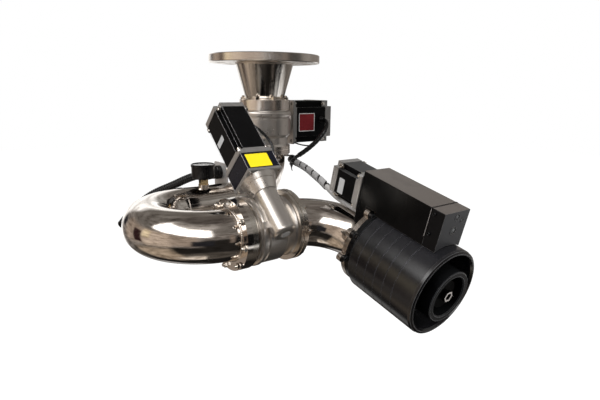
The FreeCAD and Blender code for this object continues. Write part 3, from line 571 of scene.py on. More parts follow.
def grown(tree, source, material, **values):
    """Plain mesh that a tree makes from a source mesh."""
    holder = object_of(source, "source")
    modifier = holder.modifiers.new("grow", "NODES")
    modifier.node_group = tree
    values["Material"] = material
    for item in tree.interface.items_tree:
        if item.in_out == "INPUT" and item.name in values:
            modifier[item.identifier] = values[item.name]
    mesh = plain_mesh(holder)
    bpy.data.meshes.remove(source)
    return mesh


def even_path(tree, given):
    """Curve along the source's edges in equal steps, and the length along it."""
    path = put(tree, "GeometryNodeMeshToCurve", {"Mesh": given["Geometry"]}).outputs[0]
    even = put(tree, "GeometryNodeResampleCurve", {"Curve": path, "Length": given["Step"]}, mode="LENGTH")
    return even.outputs[0], Signal(tree, put(tree, "GeometryNodeSplineParameter").outputs["Length"])


def unit_ring(tree, sides):
    return put(tree, "GeometryNodeCurvePrimitiveCircle", {"Resolution": sides, "Radius": 1.0}).outputs[0]


def swept(tree, path, profile, **more):
    """Solid that a closed profile makes along a path."""
    inputs = {"Curve": path, "Profile Curve": profile, "Fill Caps": True, **more}
    return put(tree, "GeometryNodeCurveToMesh", inputs).outputs[0]


def build_ribbed(tree, given):
    """Round tube along a path whose radius dips between rounded ribs."""
    even, along = even_path(tree, given)
    wave = maths(tree, "ABSOLUTE", maths(tree, "SINE", along / given["Pitch"] * math.pi))
    size = given["Radius"] - given["Depth"] * (1.0 - maths(tree, "POWER", wave, 0.6))
    return swept(tree, even, unit_ring(tree, given["Sides"]), Scale=size)


BAND_POINTS = 48  # half of them outside, half inside


def build_spiral(tree, given):
    """Broad band wound round a path, with a narrow gap between its turns."""
    even, along = even_path(tree, given)
    tilt = along / given["Pitch"] * (2 * math.pi)
    wound = put(tree, "GeometryNodeSetCurveTilt", {"Curve": even, "Tilt": tilt}).outputs[0]
    index = Signal(tree, put(tree, "GeometryNodeInputIndex").outputs[0])
    share = maths(tree, "MINIMUM", index, (BAND_POINTS - 1.0) - index) / (BAND_POINTS / 2 - 1)
    angle = share * ((1.0 - given["Gap"]) * (2 * math.pi))
    inner = maths(tree, "GREATER_THAN", index, (BAND_POINTS - 1) / 2)
    reach = given["Radius"] - inner * given["Thickness"]
    place = put(tree, "ShaderNodeCombineXYZ", {
        "X": reach * maths(tree, "COSINE", angle), "Y": reach * maths(tree, "SINE", angle)}).outputs[0]
    ring = unit_ring(tree, BAND_POINTS)
    section = put(tree, "GeometryNodeSetPosition", {"Geometry": ring, "Position": place}).outputs[0]
    return swept(tree, wound, section)


def build_fasteners(tree, given):
    """The same fastener at every point, its +Z turned to Axis."""
    part = put(tree, "GeometryNodeObjectInfo", {"Object": given["Fastener"], "As Instance": True})
    turn = put(tree, "FunctionNodeAlignRotationToVector", {"Vector": given["Axis"]}).outputs[0]
    inputs = {"Points": given["Geometry"], "Instance": part.outputs["Geometry"], "Rotation": turn}
    return put(tree, "GeometryNodeInstanceOnPoints", inputs).outputs[0]


RIBBED = geometry_tree(
    "ribbed tube", build_ribbed, Radius=0.0075, Depth=0.001, Pitch=0.003, Step=0.0005, Sides=20)
SPIRAL = geometry_tree(
    "spiral wrap", build_spiral, Radius=0.0063, Pitch=0.026, Gap=0.17, Thickness=0.0011, Step=0.001)
FASTENERS = geometry_tree("fasteners", build_fasteners, Fastener=None, Axis=(0.0, 0.0, 1.0))


def path_mesh(points, closed=False):
    """Bare edges through the points."""
    mesh = bpy.data.meshes.new("path")
    count = len(points)
    edges = [(i, (i + 1) % count) for i in range(count if closed else count - 1)]
    mesh.from_pydata([tuple(p) for p in points], edges, [])
    return mesh


def circle(place, radius, height=0.0, first=0.0, count=96):
    """Points round the Z axis of a local frame, in millimetres and degrees."""
    turns = [math.radians(first + 360.0 * i / count) for i in range(count)]
    return [local(place, radius * math.cos(t), radius * math.sin(t), height) for t in turns]


def lathed(profile, segments=32, shape=None):
    """Mesh turned about Z from (radius, height) points in millimetres; shape(angle, ring) scales a ring."""
    work = bmesh.new()
    rings = []
    for index, (radius, height) in enumerate(profile):
        if radius == 0:
            rings.append([work.verts.new((0, 0, height * MM))])
            continue
        ring = []
        for i in range(segments):
            turn = 2 * math.pi * i / segments
            reach = radius * MM * (shape(turn, index) if shape else 1.0)
            ring.append(work.verts.new((reach * math.cos(turn), reach * math.sin(turn), height * MM)))
        rings.append(ring)
    for low, high in zip(rings, rings[1:]):
        for i in range(segments):
            j = (i + 1) % segments
            corners = [low[i % len(low)], low[j % len(low)], high[j % len(high)], high[i % len(high)]]
            corners = [v for k, v in enumerate(corners) if v not in corners[:k]]
            if len(corners) > 2:
                work.faces.new(corners)
    bmesh.ops.recalc_face_normals(work, faces=work.faces)
    return mesh_of(work)


def smoothed(mesh, degrees=35):
    """Shades a mesh smooth but for its sharper edges."""
    mesh.polygons.foreach_set("use_smooth", [True] * len(mesh.polygons))
    mesh.set_sharp_from_angle(angle=math.radians(degrees))
    return mesh


def hex_ring(first):
    """Shape for lathed(): rings from first onwards follow a hexagon."""
    def reach(turn, index):
        side = math.cos(math.pi / 6) / math.cos(turn % (math.pi / 3) - math.pi / 6)
        return side if index >= first else 1.0
    return reach


def fastened(fastener, points, axis, material):
    """The same fastener at every point, turned to an axis."""
    return grown(FASTENERS, path_mesh(points), material, Fastener=fastener, Axis=tuple(axis))


def ribbed(line, material, closed=False, **sizes):
    """Tube along a line, from the sizes that its tree takes."""
    return grown(RIBBED, path_mesh(line, closed), material, **sizes)


def bar(place, size, at, material, bevel=0.0, turn=0.0):
    """Bar centred at a point of a frame and turned about Z there, in millimetres and degrees."""
    work = bmesh.new()
    bmesh.ops.create_cube(work, size=1.0)
    bmesh.ops.scale(work, vec=Vector(size) * MM, verts=work.verts)
    if bevel:
        bmesh.ops.bevel(work, geom=list(work.edges), offset=bevel * MM, segments=2, affect="EDGES")
    mesh = mesh_of(work)
    mesh.transform(place @ Matrix.Translation(Vector(at) * MM) @ Matrix.Rotation(math.radians(turn), 4, "Z"))
    return painted(mesh, material)


# -------- cords

def route_line(points):
    """Close points along a smooth NURBS line with these control points."""
    curve = bpy.data.curves.new("route", "CURVE")
    curve.dimensions = "3D"
    spline = curve.splines.new("NURBS")
    spline.points.add(len(points) - 1)
    for control, at in zip(spline.points, points):
        control.co = (*at, 1.0)
    spline.order_u = 3
    spline.use_endpoint_u = True
    spline.resolution_u = 16
    mesh = plain_mesh(object_of(curve, "route"))
    line = [v.co.copy() for v in mesh.vertices]
    bpy.data.meshes.remove(mesh)
    return line


HARNESS_ROUTE = [
    (0.045, -0.022, -0.190), (0.039, -0.045, -0.1925), (0.032, -0.075, -0.1945), (0.025, -0.1025, -0.198),
    (0.018, -0.127, -0.2028), (0.012, -0.1507, -0.2075), (0.007, -0.169, -0.2122), (0.004, -0.186, -0.219),
    (0.0023, -0.203, -0.226), (0.0018, -0.222, -0.2307), (0.0022, -0.244, -0.236), (0.0023, -0.264, -0.2409),
]
CONDUIT_ROUTE = [
    (-0.088, 0.022, -0.209), (-0.118, 0.022, -0.209), (-0.146, 0.025, -0.2145), (-0.1744, 0.0305, -0.2263),
    (-0.2018, 0.0355, -0.2355), (-0.2229, 0.0345, -0.2458), (-0.2429, 0.0276, -0.2581),
    (-0.256, 0.0186, -0.2676),
]
PAN_LEAD_ROUTE = [
    (0.145, 0.009, -0.119), (0.145, -0.0048, -0.119), (0.1407, -0.0165, -0.1246), (0.1328, -0.0228, -0.135),
    (0.1208, -0.0215, -0.1506), (0.101, -0.0205, -0.166), (0.077, -0.019, -0.1805), (0.052, -0.021, -0.190),
]
EARTH_LEAD_ROUTE = [
    (0.078, 0.0085, -0.1632), (0.0783, 0.0043, -0.1641), (0.0806, -0.0002, -0.1655), (0.0855, -0.0055, -0.167),
    (0.093, -0.0115, -0.1683), (0.1005, -0.0155, -0.1683),
]
TILT_LEAD_ROUTE = [
    (0.0295, -0.0070, 0.166), (0.0302, -0.0080, 0.158), (0.0310, -0.0145, 0.146), (0.0312, -0.0215, 0.130),
    (0.0312, -0.0280, 0.112), (0.0311, -0.0310, 0.094), (0.0302, -0.0270, 0.084), (0.0295, -0.0215, 0.076),
]
# from one of the tilt motor's leads to the other, in metres of its drive's frame
NEXT_TILT_LEAD = Vector((0.0008, 0.0032, 0.0004))


def lead(name, route, diameter, node, body):
    """Plain sheathed lead along its route."""
    line = route_line(route)
    mesh = ribbed(line, PVC, Radius=diameter / 2, Depth=diameter * 0.015, Pitch=diameter * 3.1,
                  Step=diameter * 0.4, Sides=16)
    cable = piece(name, mesh, body)
    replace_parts(cable, node)


def add_harness():
    """Dark bundle in a grey spiral band, then its bare grey jacket."""
    line = route_line(HARNESS_ROUTE)
    taped, bound = len(line) * 8 // 100, len(line) * 58 // 100
    jacket = ribbed(line[bound - 3:], JACKET_GREY, Radius=0.0046, Depth=0.0001, Pitch=0.02, Step=0.0007,
                    Sides=32)
    bundle = ribbed(line[:bound], SHEATH, Radius=0.0052, Depth=0.0002, Pitch=0.006, Step=0.0015, Sides=18)
    wrap = grown(SPIRAL, path_mesh(line[:bound]), WRAP_GREY, Radius=0.0063, Pitch=0.0265, Gap=0.24,
                 Step=0.0012)
    tape = ribbed(line[:taped], SHEATH, Radius=0.0067, Depth=0.0002, Pitch=0.009, Step=0.0015, Sides=18)
    harness = object_of(merged([jacket, bundle, smoothed(wrap, 50), tape]), "spiral_harness")
    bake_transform(harness)
    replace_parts(harness, "harness")


def add_conduit(diameter=0.015):
    """Corrugated conduit between its two fittings."""
    line = route_line(CONDUIT_ROUTE)
    mesh = ribbed(line, SHEATH, Radius=diameter / 2, Depth=0.0013, Pitch=0.0034, Step=0.00042, Sides=24)
    conduit = piece("corrugated_conduit", mesh, "pan_head")
    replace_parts(conduit, "conduit")


def add_tilt_leads():
    """Two thin leads side by side down the tilt motor's face."""
    for index in range(2):
        route = [tuple(DRIVE @ (Vector(at) + NEXT_TILT_LEAD * index)) for at in TILT_LEAD_ROUTE]
        lead(f"tilt_motor_lead_{index + 1}", route, 0.0028, "tilt_motor_leads", "tilt_head")


def add_lead_sleeve():
    """Loose sleeve over the middle of the pan motor's lead."""
    line = route_line(PAN_LEAD_ROUTE)
    middle = line[len(line) * 9 // 20:len(line) * 19 // 20]
    sleeve = ribbed(middle, SHEATH, Radius=0.0047, Depth=0.0003, Pitch=0.009, Step=0.001, Sides=20)
    piece("pan_lead_sleeve", sleeve, "pan_head")


def add_grommet(name, place, radius, reach, body, steps=5):
    """Tapered strain relief with rings, from a housing along +Z of its frame."""
    profile = [(0, -1.0), (radius * 1.7, -1.0), (radius * 1.7, 1.0)]
    for i in range(steps):
        low = 1.0 + (reach - 1.0) * i / steps
        wide = radius * (1.55 - 0.45 * i / steps)
        profile += [(wide, low + 0.1), (wide, low + reach / steps * 0.6),
                    (wide - radius * 0.12, low + reach / steps * 0.75)]
    profile += [(radius * 1.02, reach), (0, reach)]
    mesh = smoothed(lathed(profile, 20))
    mesh.transform(place)
    piece(name, painted(mesh, SHEATH), body)


def add_cable_tie():
    """Tie pulled round the bundle beside the clip: strap, head and two tails that stick out."""
    first, second = Vector(HARNESS_ROUTE[0]), Vector(HARNESS_ROUTE[1])
    along = (second - first).normalized()
    strap = [(5.6, -2.0), (6.7, -2.0), (6.9, -1.6), (6.9, 1.6), (6.7, 2.0), (5.6, 2.0), (5.6, -2.0)]
    parts = [painted(smoothed(lathed(strap, 40)), TIE_BLACK)]
    parts.append(bar(Matrix(), (5.0, 4.2, 5.6), (-6.0, 5.6, 0), TIE_BLACK, 0.3, turn=40))
    parts.append(bar(Matrix(), (14.0, 1.2, 2.6), (-11.5, 5.4, 1.6), TIE_BLACK, 0.3, turn=18))
    parts.append(bar(Matrix(), (11.0, 1.2, 2.6), (-10.0, 2.6, -1.8), TIE_BLACK, 0.3, turn=-14))
    tie = merged(parts)
    tie.transform(axes_at(first + along * 0.0165, Z, along))
    piece("cable_tie", tie, "pan_head")


add_harness()
add_conduit()
lead("pan_motor_lead", PAN_LEAD_ROUTE, 0.0072, "pan_motor_leads", "pan_head")
lead("pan_earth_lead", EARTH_LEAD_ROUTE, 0.0028, "pan_motor_leads", "pan_head")
add_tilt_leads()
add_lead_sleeve()
add_grommet("pan_lead_grommet", axes_at(Vector(PAN_LEAD_ROUTE[0]), X, -Y), 3.6, 9.0, "pan_head")
add_cable_tie()


# -------- welds

TUBE_R = 38.05
leg_low, leg_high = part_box("rear_leg")
cone_low, cone_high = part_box("inlet_cone")
COLLAR_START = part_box("tilt_collar")[0].x
OUTLET_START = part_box("outlet_elbow")[0].x


def on_tilt_axis(x):
    """Frame on the tilt axis that looks along X."""
    return axes_at(Vector((x, TILT_AT.y, TILT_AT.z)), Y, X)


def on_inlet(z):
    """Frame on the inlet's axis that looks down."""
    return axes_at(Vector((0, 0, z)), X, -Z)


def weld(name, place, radius, body, height=0.0, sunk=1.8, size=2.2):
    """Bead round a tube: overlapping ripples, most of it sunk in the wall. Sizes are in millimetres."""
    bead = ribbed(circle(place, radius - sunk, height), WELDED, closed=True, Radius=size * MM, Depth=0.00035,
                  Pitch=0.0024, Step=0.0006, Sides=12)
    piece(name, bead, body)


LEG = axes_at(Vector((leg_high.x, 0, TILT_AT.z)), Y, -X)
weld("weld_leg_elbow", LEG, TUBE_R, "pan_head", height=1.0)
weld("weld_leg_loop", LEG, TUBE_R, "pan_head", height=(leg_high.x - leg_low.x) / MM)
weld("weld_tilt_collar", on_tilt_axis(COLLAR_START), TUBE_R + 0.2, "pan_head", sunk=1.0)
weld("weld_cone_flange", on_inlet(cone_high.z), 52.3, "base", height=0.6, sunk=1.4)
weld("weld_cone_collar", on_inlet(cone_low.z), 35.8, "base", height=-0.6, sunk=1.2, size=2.0)
weld("weld_outlet_elbow", on_tilt_axis(OUTLET_START), TUBE_R, "tilt_head", height=1.0, sunk=1.3)
weld("weld_lobed_flange", NOZZLE, TUBE_R, "tilt_head", height=100.0, sunk=1.0)


# -------- bare labels

FILM, FILM_CORNER = 0.12, 1.2


def film_sheet(sides, low, inset):
    """Thin sheet with rounded corners, between its left, lower, right and upper sides in millimetres."""
    left, down, right, up = sides
    corners = [Vector((*corner, 0)) for corner in ((left, down), (right, down), (right, up), (left, up))]
    middle = sum(corners, Vector()) / 4
    corners = [corner + (middle - corner).normalized() * inset * 1.4 for corner in corners]
    outline = []
    for i, corner in enumerate(corners):
        start = corner + (corners[i - 1] - corner).normalized() * FILM_CORNER
        stop = corner + (corners[(i + 1) % 4] - corner).normalized() * FILM_CORNER
        for t in (0, 0.25, 0.5, 0.75, 1):
            outline.append(start * (1 - t) ** 2 + corner * 2 * t * (1 - t) + stop * t ** 2)
    work = bmesh.new()
    levels = (low - 0.02, low + FILM)
    bottom, top = ([work.verts.new((p.x * MM, p.y * MM, level * MM)) for p in outline] for level in levels)
    work.faces.new(bottom)
    work.faces.new(top)
    for i in range(len(outline)):
        j = (i + 1) % len(outline)
        work.faces.new([bottom[i], bottom[j], top[j], top[i]])
    bmesh.ops.recalc_face_normals(work, faces=work.faces)
    return mesh_of(work)


def label(name, place, sides, body, layers):
    """Blank label of stacked films: (inset, material) pairs from the bottom up."""
    mesh = merged([
        painted(film_sheet(sides, index * FILM, inset), film) for index, (inset, film) in enumerate(layers)])
    mesh.transform(place)
    piece(name, mesh, body)


# frames on the faces that carry labels: Z points out of the face
MOTOR_HALF, BLOCK_HALF = 27.36, 27.2
PAN_FACE = axes_at(Vector((0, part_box("pan_motor_body")[0].y, centre("pan_motor_body").z)), X, -Y)
DRIVE_LEFT = axes_at(local(DRIVE, -MOTOR_HALF, 0, 0), way(DRIVE, -Y), -X)
BLOCK_FRONT = axes_at(local(DRIVE, 0, -BLOCK_HALF, 0), X, way(DRIVE, -Y))
SPRAY_LEFT = axes_at(local(NOZZLE, -MOTOR_HALF, 0, 0), way(NOZZLE, -Y), -X)
label("pan_motor_label", PAN_FACE, (89, -18.5, 129, 17.5), "pan_head", [(0, WHITE_FILM), (1.5, RED_FILM)])
label("tilt_motor_label", DRIVE_LEFT, (-15.5, 127.7, 6.5, 137.2), "tilt_head", [(0, WHITE_FILM)])
label("gear_block_label", BLOCK_FRONT, (-22, 57.8, 15.8, 81.2), "tilt_head", [(0, YELLOW_FILM)])
label("spray_motor_label", SPRAY_LEFT, (-86, 33.3, -61.6, 45), "tilt_head", [(0, WHITE_FILM)])


# -------- fasteners and washers

def hex_socket(radius, height, socket):
    """Socket head screw with a hexagon recess, seat at zero."""
    profile = [(0, -1.0), (radius * 0.9, -1.0), (radius, 0), (radius, height - 0.4), (radius - 0.4, height),
               (socket * 1.15, height), (socket, height - 0.3), (socket, height * 0.35), (0, height * 0.35)]
    return smoothed(lathed(profile, 24, hex_ring(6)))


SMALL_SCREW = object_of(hex_socket(2.3, 2.4, 1.3), "small screw")
POST_SCREW = object_of(hex_socket(3.1, 5.0, 1.6), "post screw")
WASHER = object_of(smoothed(lathed([
    (2.6, 0), (4.9, 0), (5.0, 0.15), (5.0, 0.7), (4.85, 0.8), (2.6, 0.8), (2.6, 0)])), "washer")
ROD_END = object_of(smoothed(lathed([
    (0, -0.6), (2.45, -0.6), (2.45, 0.2), (2.0, 0.7), (0.4, 0.7), (0, 0.5)], 24)), "rod end")


def corners_of(place, reach, height):
    """Corners of a square round Z."""
    return [local(place, x, y, height) for x in (-reach, reach) for y in (-reach, reach)]


def motor_screws(name, place, side, plate_end, cap_start, body):
    """Four screws in the corner notches at each end of a square motor, along Z of its frame."""
    reach = side * 0.42
    out = way(place, Z)
    ends = [fastened(POST_SCREW, corners_of(place, reach, plate_end), out, FASTENER),
            fastened(POST_SCREW, corners_of(place, reach, cap_start), -out, FASTENER)]
    piece(name, merged(ends), body)


def nutted_flange(name, place, radius, seat, first, rod, body):
    """Washers under eight nuts on a circle, and the rod ends in the nuts, at a height rod over the seat."""
    axis = way(place, (0, 0, rod))
    washers = fastened(WASHER, circle(place, radius, seat, first, 8), axis, FASTENER)
    ends = fastened(ROD_END, circle(place, radius, seat + rod, first, 8), axis, FASTENER)
    piece(name, merged([washers, ends]), body)


SPRAY_MOTOR_UP, SPRAY_MOTOR_START = 78.5, 79
SPRAY_DRIVE = axes_at(local(NOZZLE, 0, SPRAY_MOTOR_UP, SPRAY_MOTOR_START), X, -NOZZLE_DIR)
motor_screws("pan_motor_screws", PAN_DRIVE, 86, 79.6, 157, "pan_head")
motor_screws("tilt_motor_screws", DRIVE, 56.4, 91.1, 175, "tilt_head")
motor_screws("spray_motor_screws", SPRAY_DRIVE, 56.4, 7.4, 52, "tilt_head")
block_screws = fastened(SMALL_SCREW, corners_of(DRIVE, 23.6, 51.4), -DRIVE_DIR, FASTENER)
piece("gear_block_screws", block_screws, "tilt_head")
nutted_flange("pan_washers", PAN_FLOW, 41.8, -9.1, 11, -6.6, "base")
nutted_flange("tilt_washers", TILT_FLOW, 47.7, -16.1, 11, -6.6, "pan_head")
nutted_flange("pan_outlet_washers", PAN_FLOW, 41.8, 88.5, 4, 4.6, "pan_head")
nutted_flange("tilt_outlet_washers", TILT_FLOW, 48.8, 88.5, 4, 4.6, "tilt_head")


# -------- pressure gauge

DIAL_DEPTH = 0.007
GAUGE_AT = centre("gauge_case")
GAUGE_AT.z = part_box("gauge_case")[1].z - DIAL_DEPTH
DIAL_START, DIAL_SWEEP, DIAL_RIM = 225, 270, 17.2


def dial_marks(count, inner, width):
    """Thin bars round the dial, from an inner radius to its rim."""
    marks = []
    for i in range(count):
        turned = Matrix.Rotation(math.radians(DIAL_START - DIAL_SWEEP * i / (count - 1)), 4, "Z")
        marks.append(bar(turned, (DIAL_RIM - inner, width, 0.2), ((inner + DIAL_RIM) / 2, 0, 0.45), INK))
    return marks


def dial_number(text, turn):
    """Flat number at its angle on the dial."""
    curve = bpy.data.curves.new("number", "FONT")
    curve.body = text
    curve.size = 0.0036
    curve.extrude = 0.0001
    curve.align_x = curve.align_y = "CENTER"
    mesh = plain_mesh(object_of(curve, "number"))
    spot = Vector((math.cos(math.radians(turn)), math.sin(math.radians(turn)), 0)) * 10.5 * MM
    mesh.transform(Matrix.Translation(spot + Z * 0.00045))
    return painted(mesh, INK)


card = painted(smoothed(lathed([(0, 0.05), (18.4, 0.05), (18.4, 0.35), (18.0, 0.4), (0, 0.4)], 64)), DIAL)
numbers = [dial_number(str(i * 4), DIAL_START - DIAL_SWEEP * i / 4) for i in range(5)]
dial = merged([card, *dial_marks(9, 13.6, 0.55), *dial_marks(41, 15.6, 0.25), *numbers])
dial.transform(axes_at(GAUGE_AT, X, Z))
piece("gauge_dial", dial, "pan_head")


# -------- detector housing details

SEAM, BOX_END, BOX_TOP, HALF_W = 203.0, 224.0, 114.5, 26.0

seal = [bar(NOZZLE, (0.5, 42, 2.4), (side * (HALF_W + 0.02), 92.5, SEAM + 0.2), MOULDED, 0.2)
        for side in (-1, 1)]
seal.append(bar(NOZZLE, (2 * HALF_W, 0.5, 2.4), (0, BOX_TOP + 0.02, SEAM + 0.2), MOULDED, 0.2))
piece("detector_seal", merged(seal), "tilt_head")


def window(across, up, r):
    """Domed window in its bezel, on the front of the housing."""
    bezel = lathed([(r - 0.5, -0.9), (r - 0.5, 0.15), (r - 0.2, 0.45), (r + 0.7, 0.45), (r + 0.9, 0.2),
                    (r + 0.9, -0.9), (r - 0.5, -0.9)], 40)
    dome = lathed([(0, -0.9), (r - 0.6, -0.9), (r - 0.6, -0.5), (r * 0.5, -0.1), (0, 0.05)], 40)
    mesh = merged([painted(smoothed(bezel), FRONT_COAT), painted(smoothed(dome, 80), LENS)])
    mesh.transform(axes_at(local(NOZZLE, across, up, BOX_END), X, NOZZLE_DIR))
    return mesh


windows = [window(1.5, 106.1, 4.2), window(14.4, 99.6, 3.0), window(1.3, 86.6, 5.5)]
piece("detector_bezels", merged(windows), "tilt_head")

for side, name in ((-1, "detector_screws_left"), (1, "detector_screws_right")):
    seats = [local(NOZZLE, side * (HALF_W + 0.05), up, SEAM + 6) for up in (108, 80)]
    piece(name, fastened(SMALL_SCREW, seats, X * side, MOULDED), "tilt_head")

edges = [bar(NOZZLE, (0.3, 40, 0.9), (side * (HALF_W + 0.18), 93.0, SEAM - 0.6), BARE, 0.1)
         for side in (-1, 1)]
piece("detector_seam_edges", merged(edges), "tilt_head")


def arrises(name, places, width, length, middle, bevel):
    """Bare edges along the tilt drive, at each (x, y) and its mirror images. They are partly bare metal and
    partly painted highlight, standing in for the light lines along those edges.
    """
    edges = [bar(DRIVE, (width, width, length), (side_x * x, side_y * y, middle), BARE, bevel)
             for side_x in (-1, 1) for side_y in (-1, 1) for x, y in places]
    piece(name, merged(edges), "tilt_head")


NOTCH_OUT, NOTCH_IN = 28.2, 19.74
notch = [(NOTCH_OUT, NOTCH_IN), (NOTCH_IN, NOTCH_IN), (NOTCH_IN, NOTCH_OUT)]
# partly bare metal, partly painted highlight along the notch and block edges
arrises("tilt_motor_arrises", notch, 0.32, 81, 134, 0.1)
arrises("gear_block_arrises", [(BLOCK_HALF, BLOCK_HALF)], 0.6, 36, 69.5, 0.15)


# -------- nozzle mouth

def reach_along(node, place):
    """Lowest and highest point of a node along Z of a frame, in millimetres."""
    heights = [(place.inverted() @ v.co).z / MM for v in frame["nodes"][node].data.vertices]
    return min(heights), max(heights)


def hex_part(profile, material):
    """Six-sided part turned about Z."""
    return painted(smoothed(lathed(profile, 36, hex_ring(0))), material)


def add_hub():
    """Hub nut with a bright rim round its recess; its body and the recess floor are matt black, as painted
    shade.
    """
    back, front = reach_along("hub_nut", NOZZLE)
    body = hex_part([(0, back), (8.4, back), (8.6, back + 0.3), (8.6, front - 1.1), (8.2, front - 0.7),
                     (5.9, front - 0.7), (5.6, front - 1.1), (5.6, front - 3.0), (0, front - 3.0)], PAINTED_SHADE_BLACK)
    rim = hex_part([(8.2, front - 0.72), (8.2, front - 0.2), (7.9, front), (6.2, front), (5.9, front - 0.2),
                    (5.9, front - 0.72), (8.2, front - 0.72)], BRIGHT)
    hub = merged([body, rim])
    hub.transform(NOZZLE)
    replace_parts(piece("hub_ring", hub, "tilt_head"), "hub_nut")


def lip_rings(name, rings, body):
    """Thin raised rings round the nozzle, from (radius, height, half width)."""
    raised = []
    for radius, height, half in rings:
        profile = [(radius - half, height - 0.4), (radius - half, height), (radius, height + half * 0.5),
                   (radius + half, height), (radius + half, height - 0.4), (radius - half, height - 0.4)]
        raised.append(painted(smoothed(lathed(profile, 120), 60), LIP))
    mesh = merged(raised)
    mesh.transform(NOZZLE)
    piece(name, mesh, body)


SLEEVE_END = reach_along("spray_sleeve", NOZZLE)[1]
TUBE_END = reach_along("inner_tube", NOZZLE)[1]
add_hub()
lip_rings("sleeve_lip_rings", [(59.7, SLEEVE_END + 0.05, 0.35), (63.0, SLEEVE_END - 1.4, 0.25)], "spray_ring")
lip_rings("tube_lip_rings", [(36.8, TUBE_END + 0.05, 0.3), (31.2, TUBE_END + 0.05, 0.3)], "tilt_head")

# these only lent their shapes
for lent in (SMALL_SCREW, POST_SCREW, WASHER, ROD_END):
    bpy.data.objects.remove(lent)


# -------- stage, light and camera

CAMERA_AT = Vector((-0.5069, -0.7624, -0.0582))
CAMERA_YAW = math.radians(37.87)
CAMERA_PITCH = math.radians(12.95)
CAMERA_ROLL = 0.012
CAMERA_LENS = 29.02
AWAY = Vector((math.sin(CAMERA_YAW), math.cos(CAMERA_YAW), 0))
RIGHT = Vector((math.cos(CAMERA_YAW), -math.sin(CAMERA_YAW), 0))


def look_along(thing, at, direction, roll=0.0):
    """Places a camera or lamp and points its -Z along a direction."""
    thing.location = at
    thing.rotation_mode = "QUATERNION"
    thing.rotation_quaternion = direction.to_track_quat("-Z", "Y") @ Quaternion(Z, roll)


def add_camera():
    """Camera in front and to the left, looking a little down."""
    camera = object_of(bpy.data.cameras.new("camera"), "camera")
    look_along(camera, CAMERA_AT, AWAY * math.cos(CAMERA_PITCH) - Z * math.sin(CAMERA_PITCH), CAMERA_ROLL)
    camera.data.lens = CAMERA_LENS
    camera.data.sensor_width = 36.0
    camera.data.clip_start = 0.01
    bpy.context.scene.camera = camera


# what polished metal mirrors: name, first and last degree round the room, from straight away past the right,
# lowest and highest degree, rise per degree round, softness, colour
ROOM = [
    ("upper wall", -40, 400, 22, 66, 0, 12, (0.185, 0.17, 0.155)),
    ("ceiling", -40, 400, 66, 120, 0, 8, (0.105, 0.092, 0.083)),
    ("floor", -40, 400, -100, -30, 0, 8, (0.085, 0.075, 0.065)),
    ("dark floor, far side", -45, 66, -100, -38, 0, 8, (0.014, 0.013, 0.012)),
    ("dark floor, far side", 298, 400, -100, -44, 0, 8, (0.014, 0.013, 0.012)),
    ("dark bench", 99, 172, -54, 2, 0, 5, (0.020, 0.018, 0.016)),
    ("dark bench end", 168, 222, -54, -27, 0, 5, (0.018, 0.016, 0.014)),
    ("lit floor", 222, 292, -72, -32, 0, 8, (0.46, 0.37, 0.28)),
    ("pale floor", 168, 264, -100, -70, 0, 8, (1.0, 0.90, 0.78)),
    ("far wall, right", 62, 114, 6, 46, 0, 8, (0.34, 0.33, 0.31)),
    ("far wall, ahead", -20, 22, -6, 32, 0, 8, (0.36, 0.35, 0.33)),
    ("far wall, ahead", 340, 400, -6, 32, 0, 8, (0.36, 0.35, 0.33)),
    ("warm wall", 180, 300, -21, 20, 0, 7, (0.40, 0.325, 0.265)),
    ("lit warm wall", 217, 262, -26, 22, 0, 6, (0.64, 0.53, 0.43)),
    ("white sill", -20, 116, -17.5, -8, -0.115, 2, (1.25, 1.25, 1.25)),
    ("window glow", 146, 264, 44, 67, 0, 9, (0.50, 0.47, 0.44)),
    ("window", 161, 256, 15.5, 42, 0.18, 5, (4.2, 4.15, 4.1)),
    ("cabinet", 157, 188, -23, -1, 0, 3, (0.022, 0.022, 0.026)),
    ("column", 95, 127, -26, 8, 0, 2, (0.007, 0.007, 0.007)),
    ("column edge", 129, 136, -16, 14, 0, 2, (0.26, 0.21, 0.175)),
    ("cream door", 248, 262, -3, 19, 0, 3, (0.95, 0.80, 0.55)),
    ("dark door", 264, 279, -19, 11, 0, 1.5, (0.035, 0.016, 0.016)),
    ("white screen", 318, 353, -22, 27, 0, 5, (1.35, 1.34, 1.32)),
    ("case on the screen", 304, 315, -5, 8, 0, 2, (0.02, 0.02, 0.025)),
    ("white cloth", 324, 348, -55, -34, 0, 4, (0.42, 0.41, 0.40)),
]


def background(tree, colour):
    """World shader of one colour, at a plain level."""
    return put(tree, "ShaderNodeBackground", {"Color": colour, "Strength": 1.0}).outputs[0]


def shown(tree, seen_by, hidden, seen):
    """Shader for the rays that Light Path names, or else the hidden one."""
    rays = put(tree, "ShaderNodeLightPath").outputs[seen_by]
    return put(tree, "ShaderNodeMixShader", {0: rays, 1: hidden, 2: seen}).outputs[0]


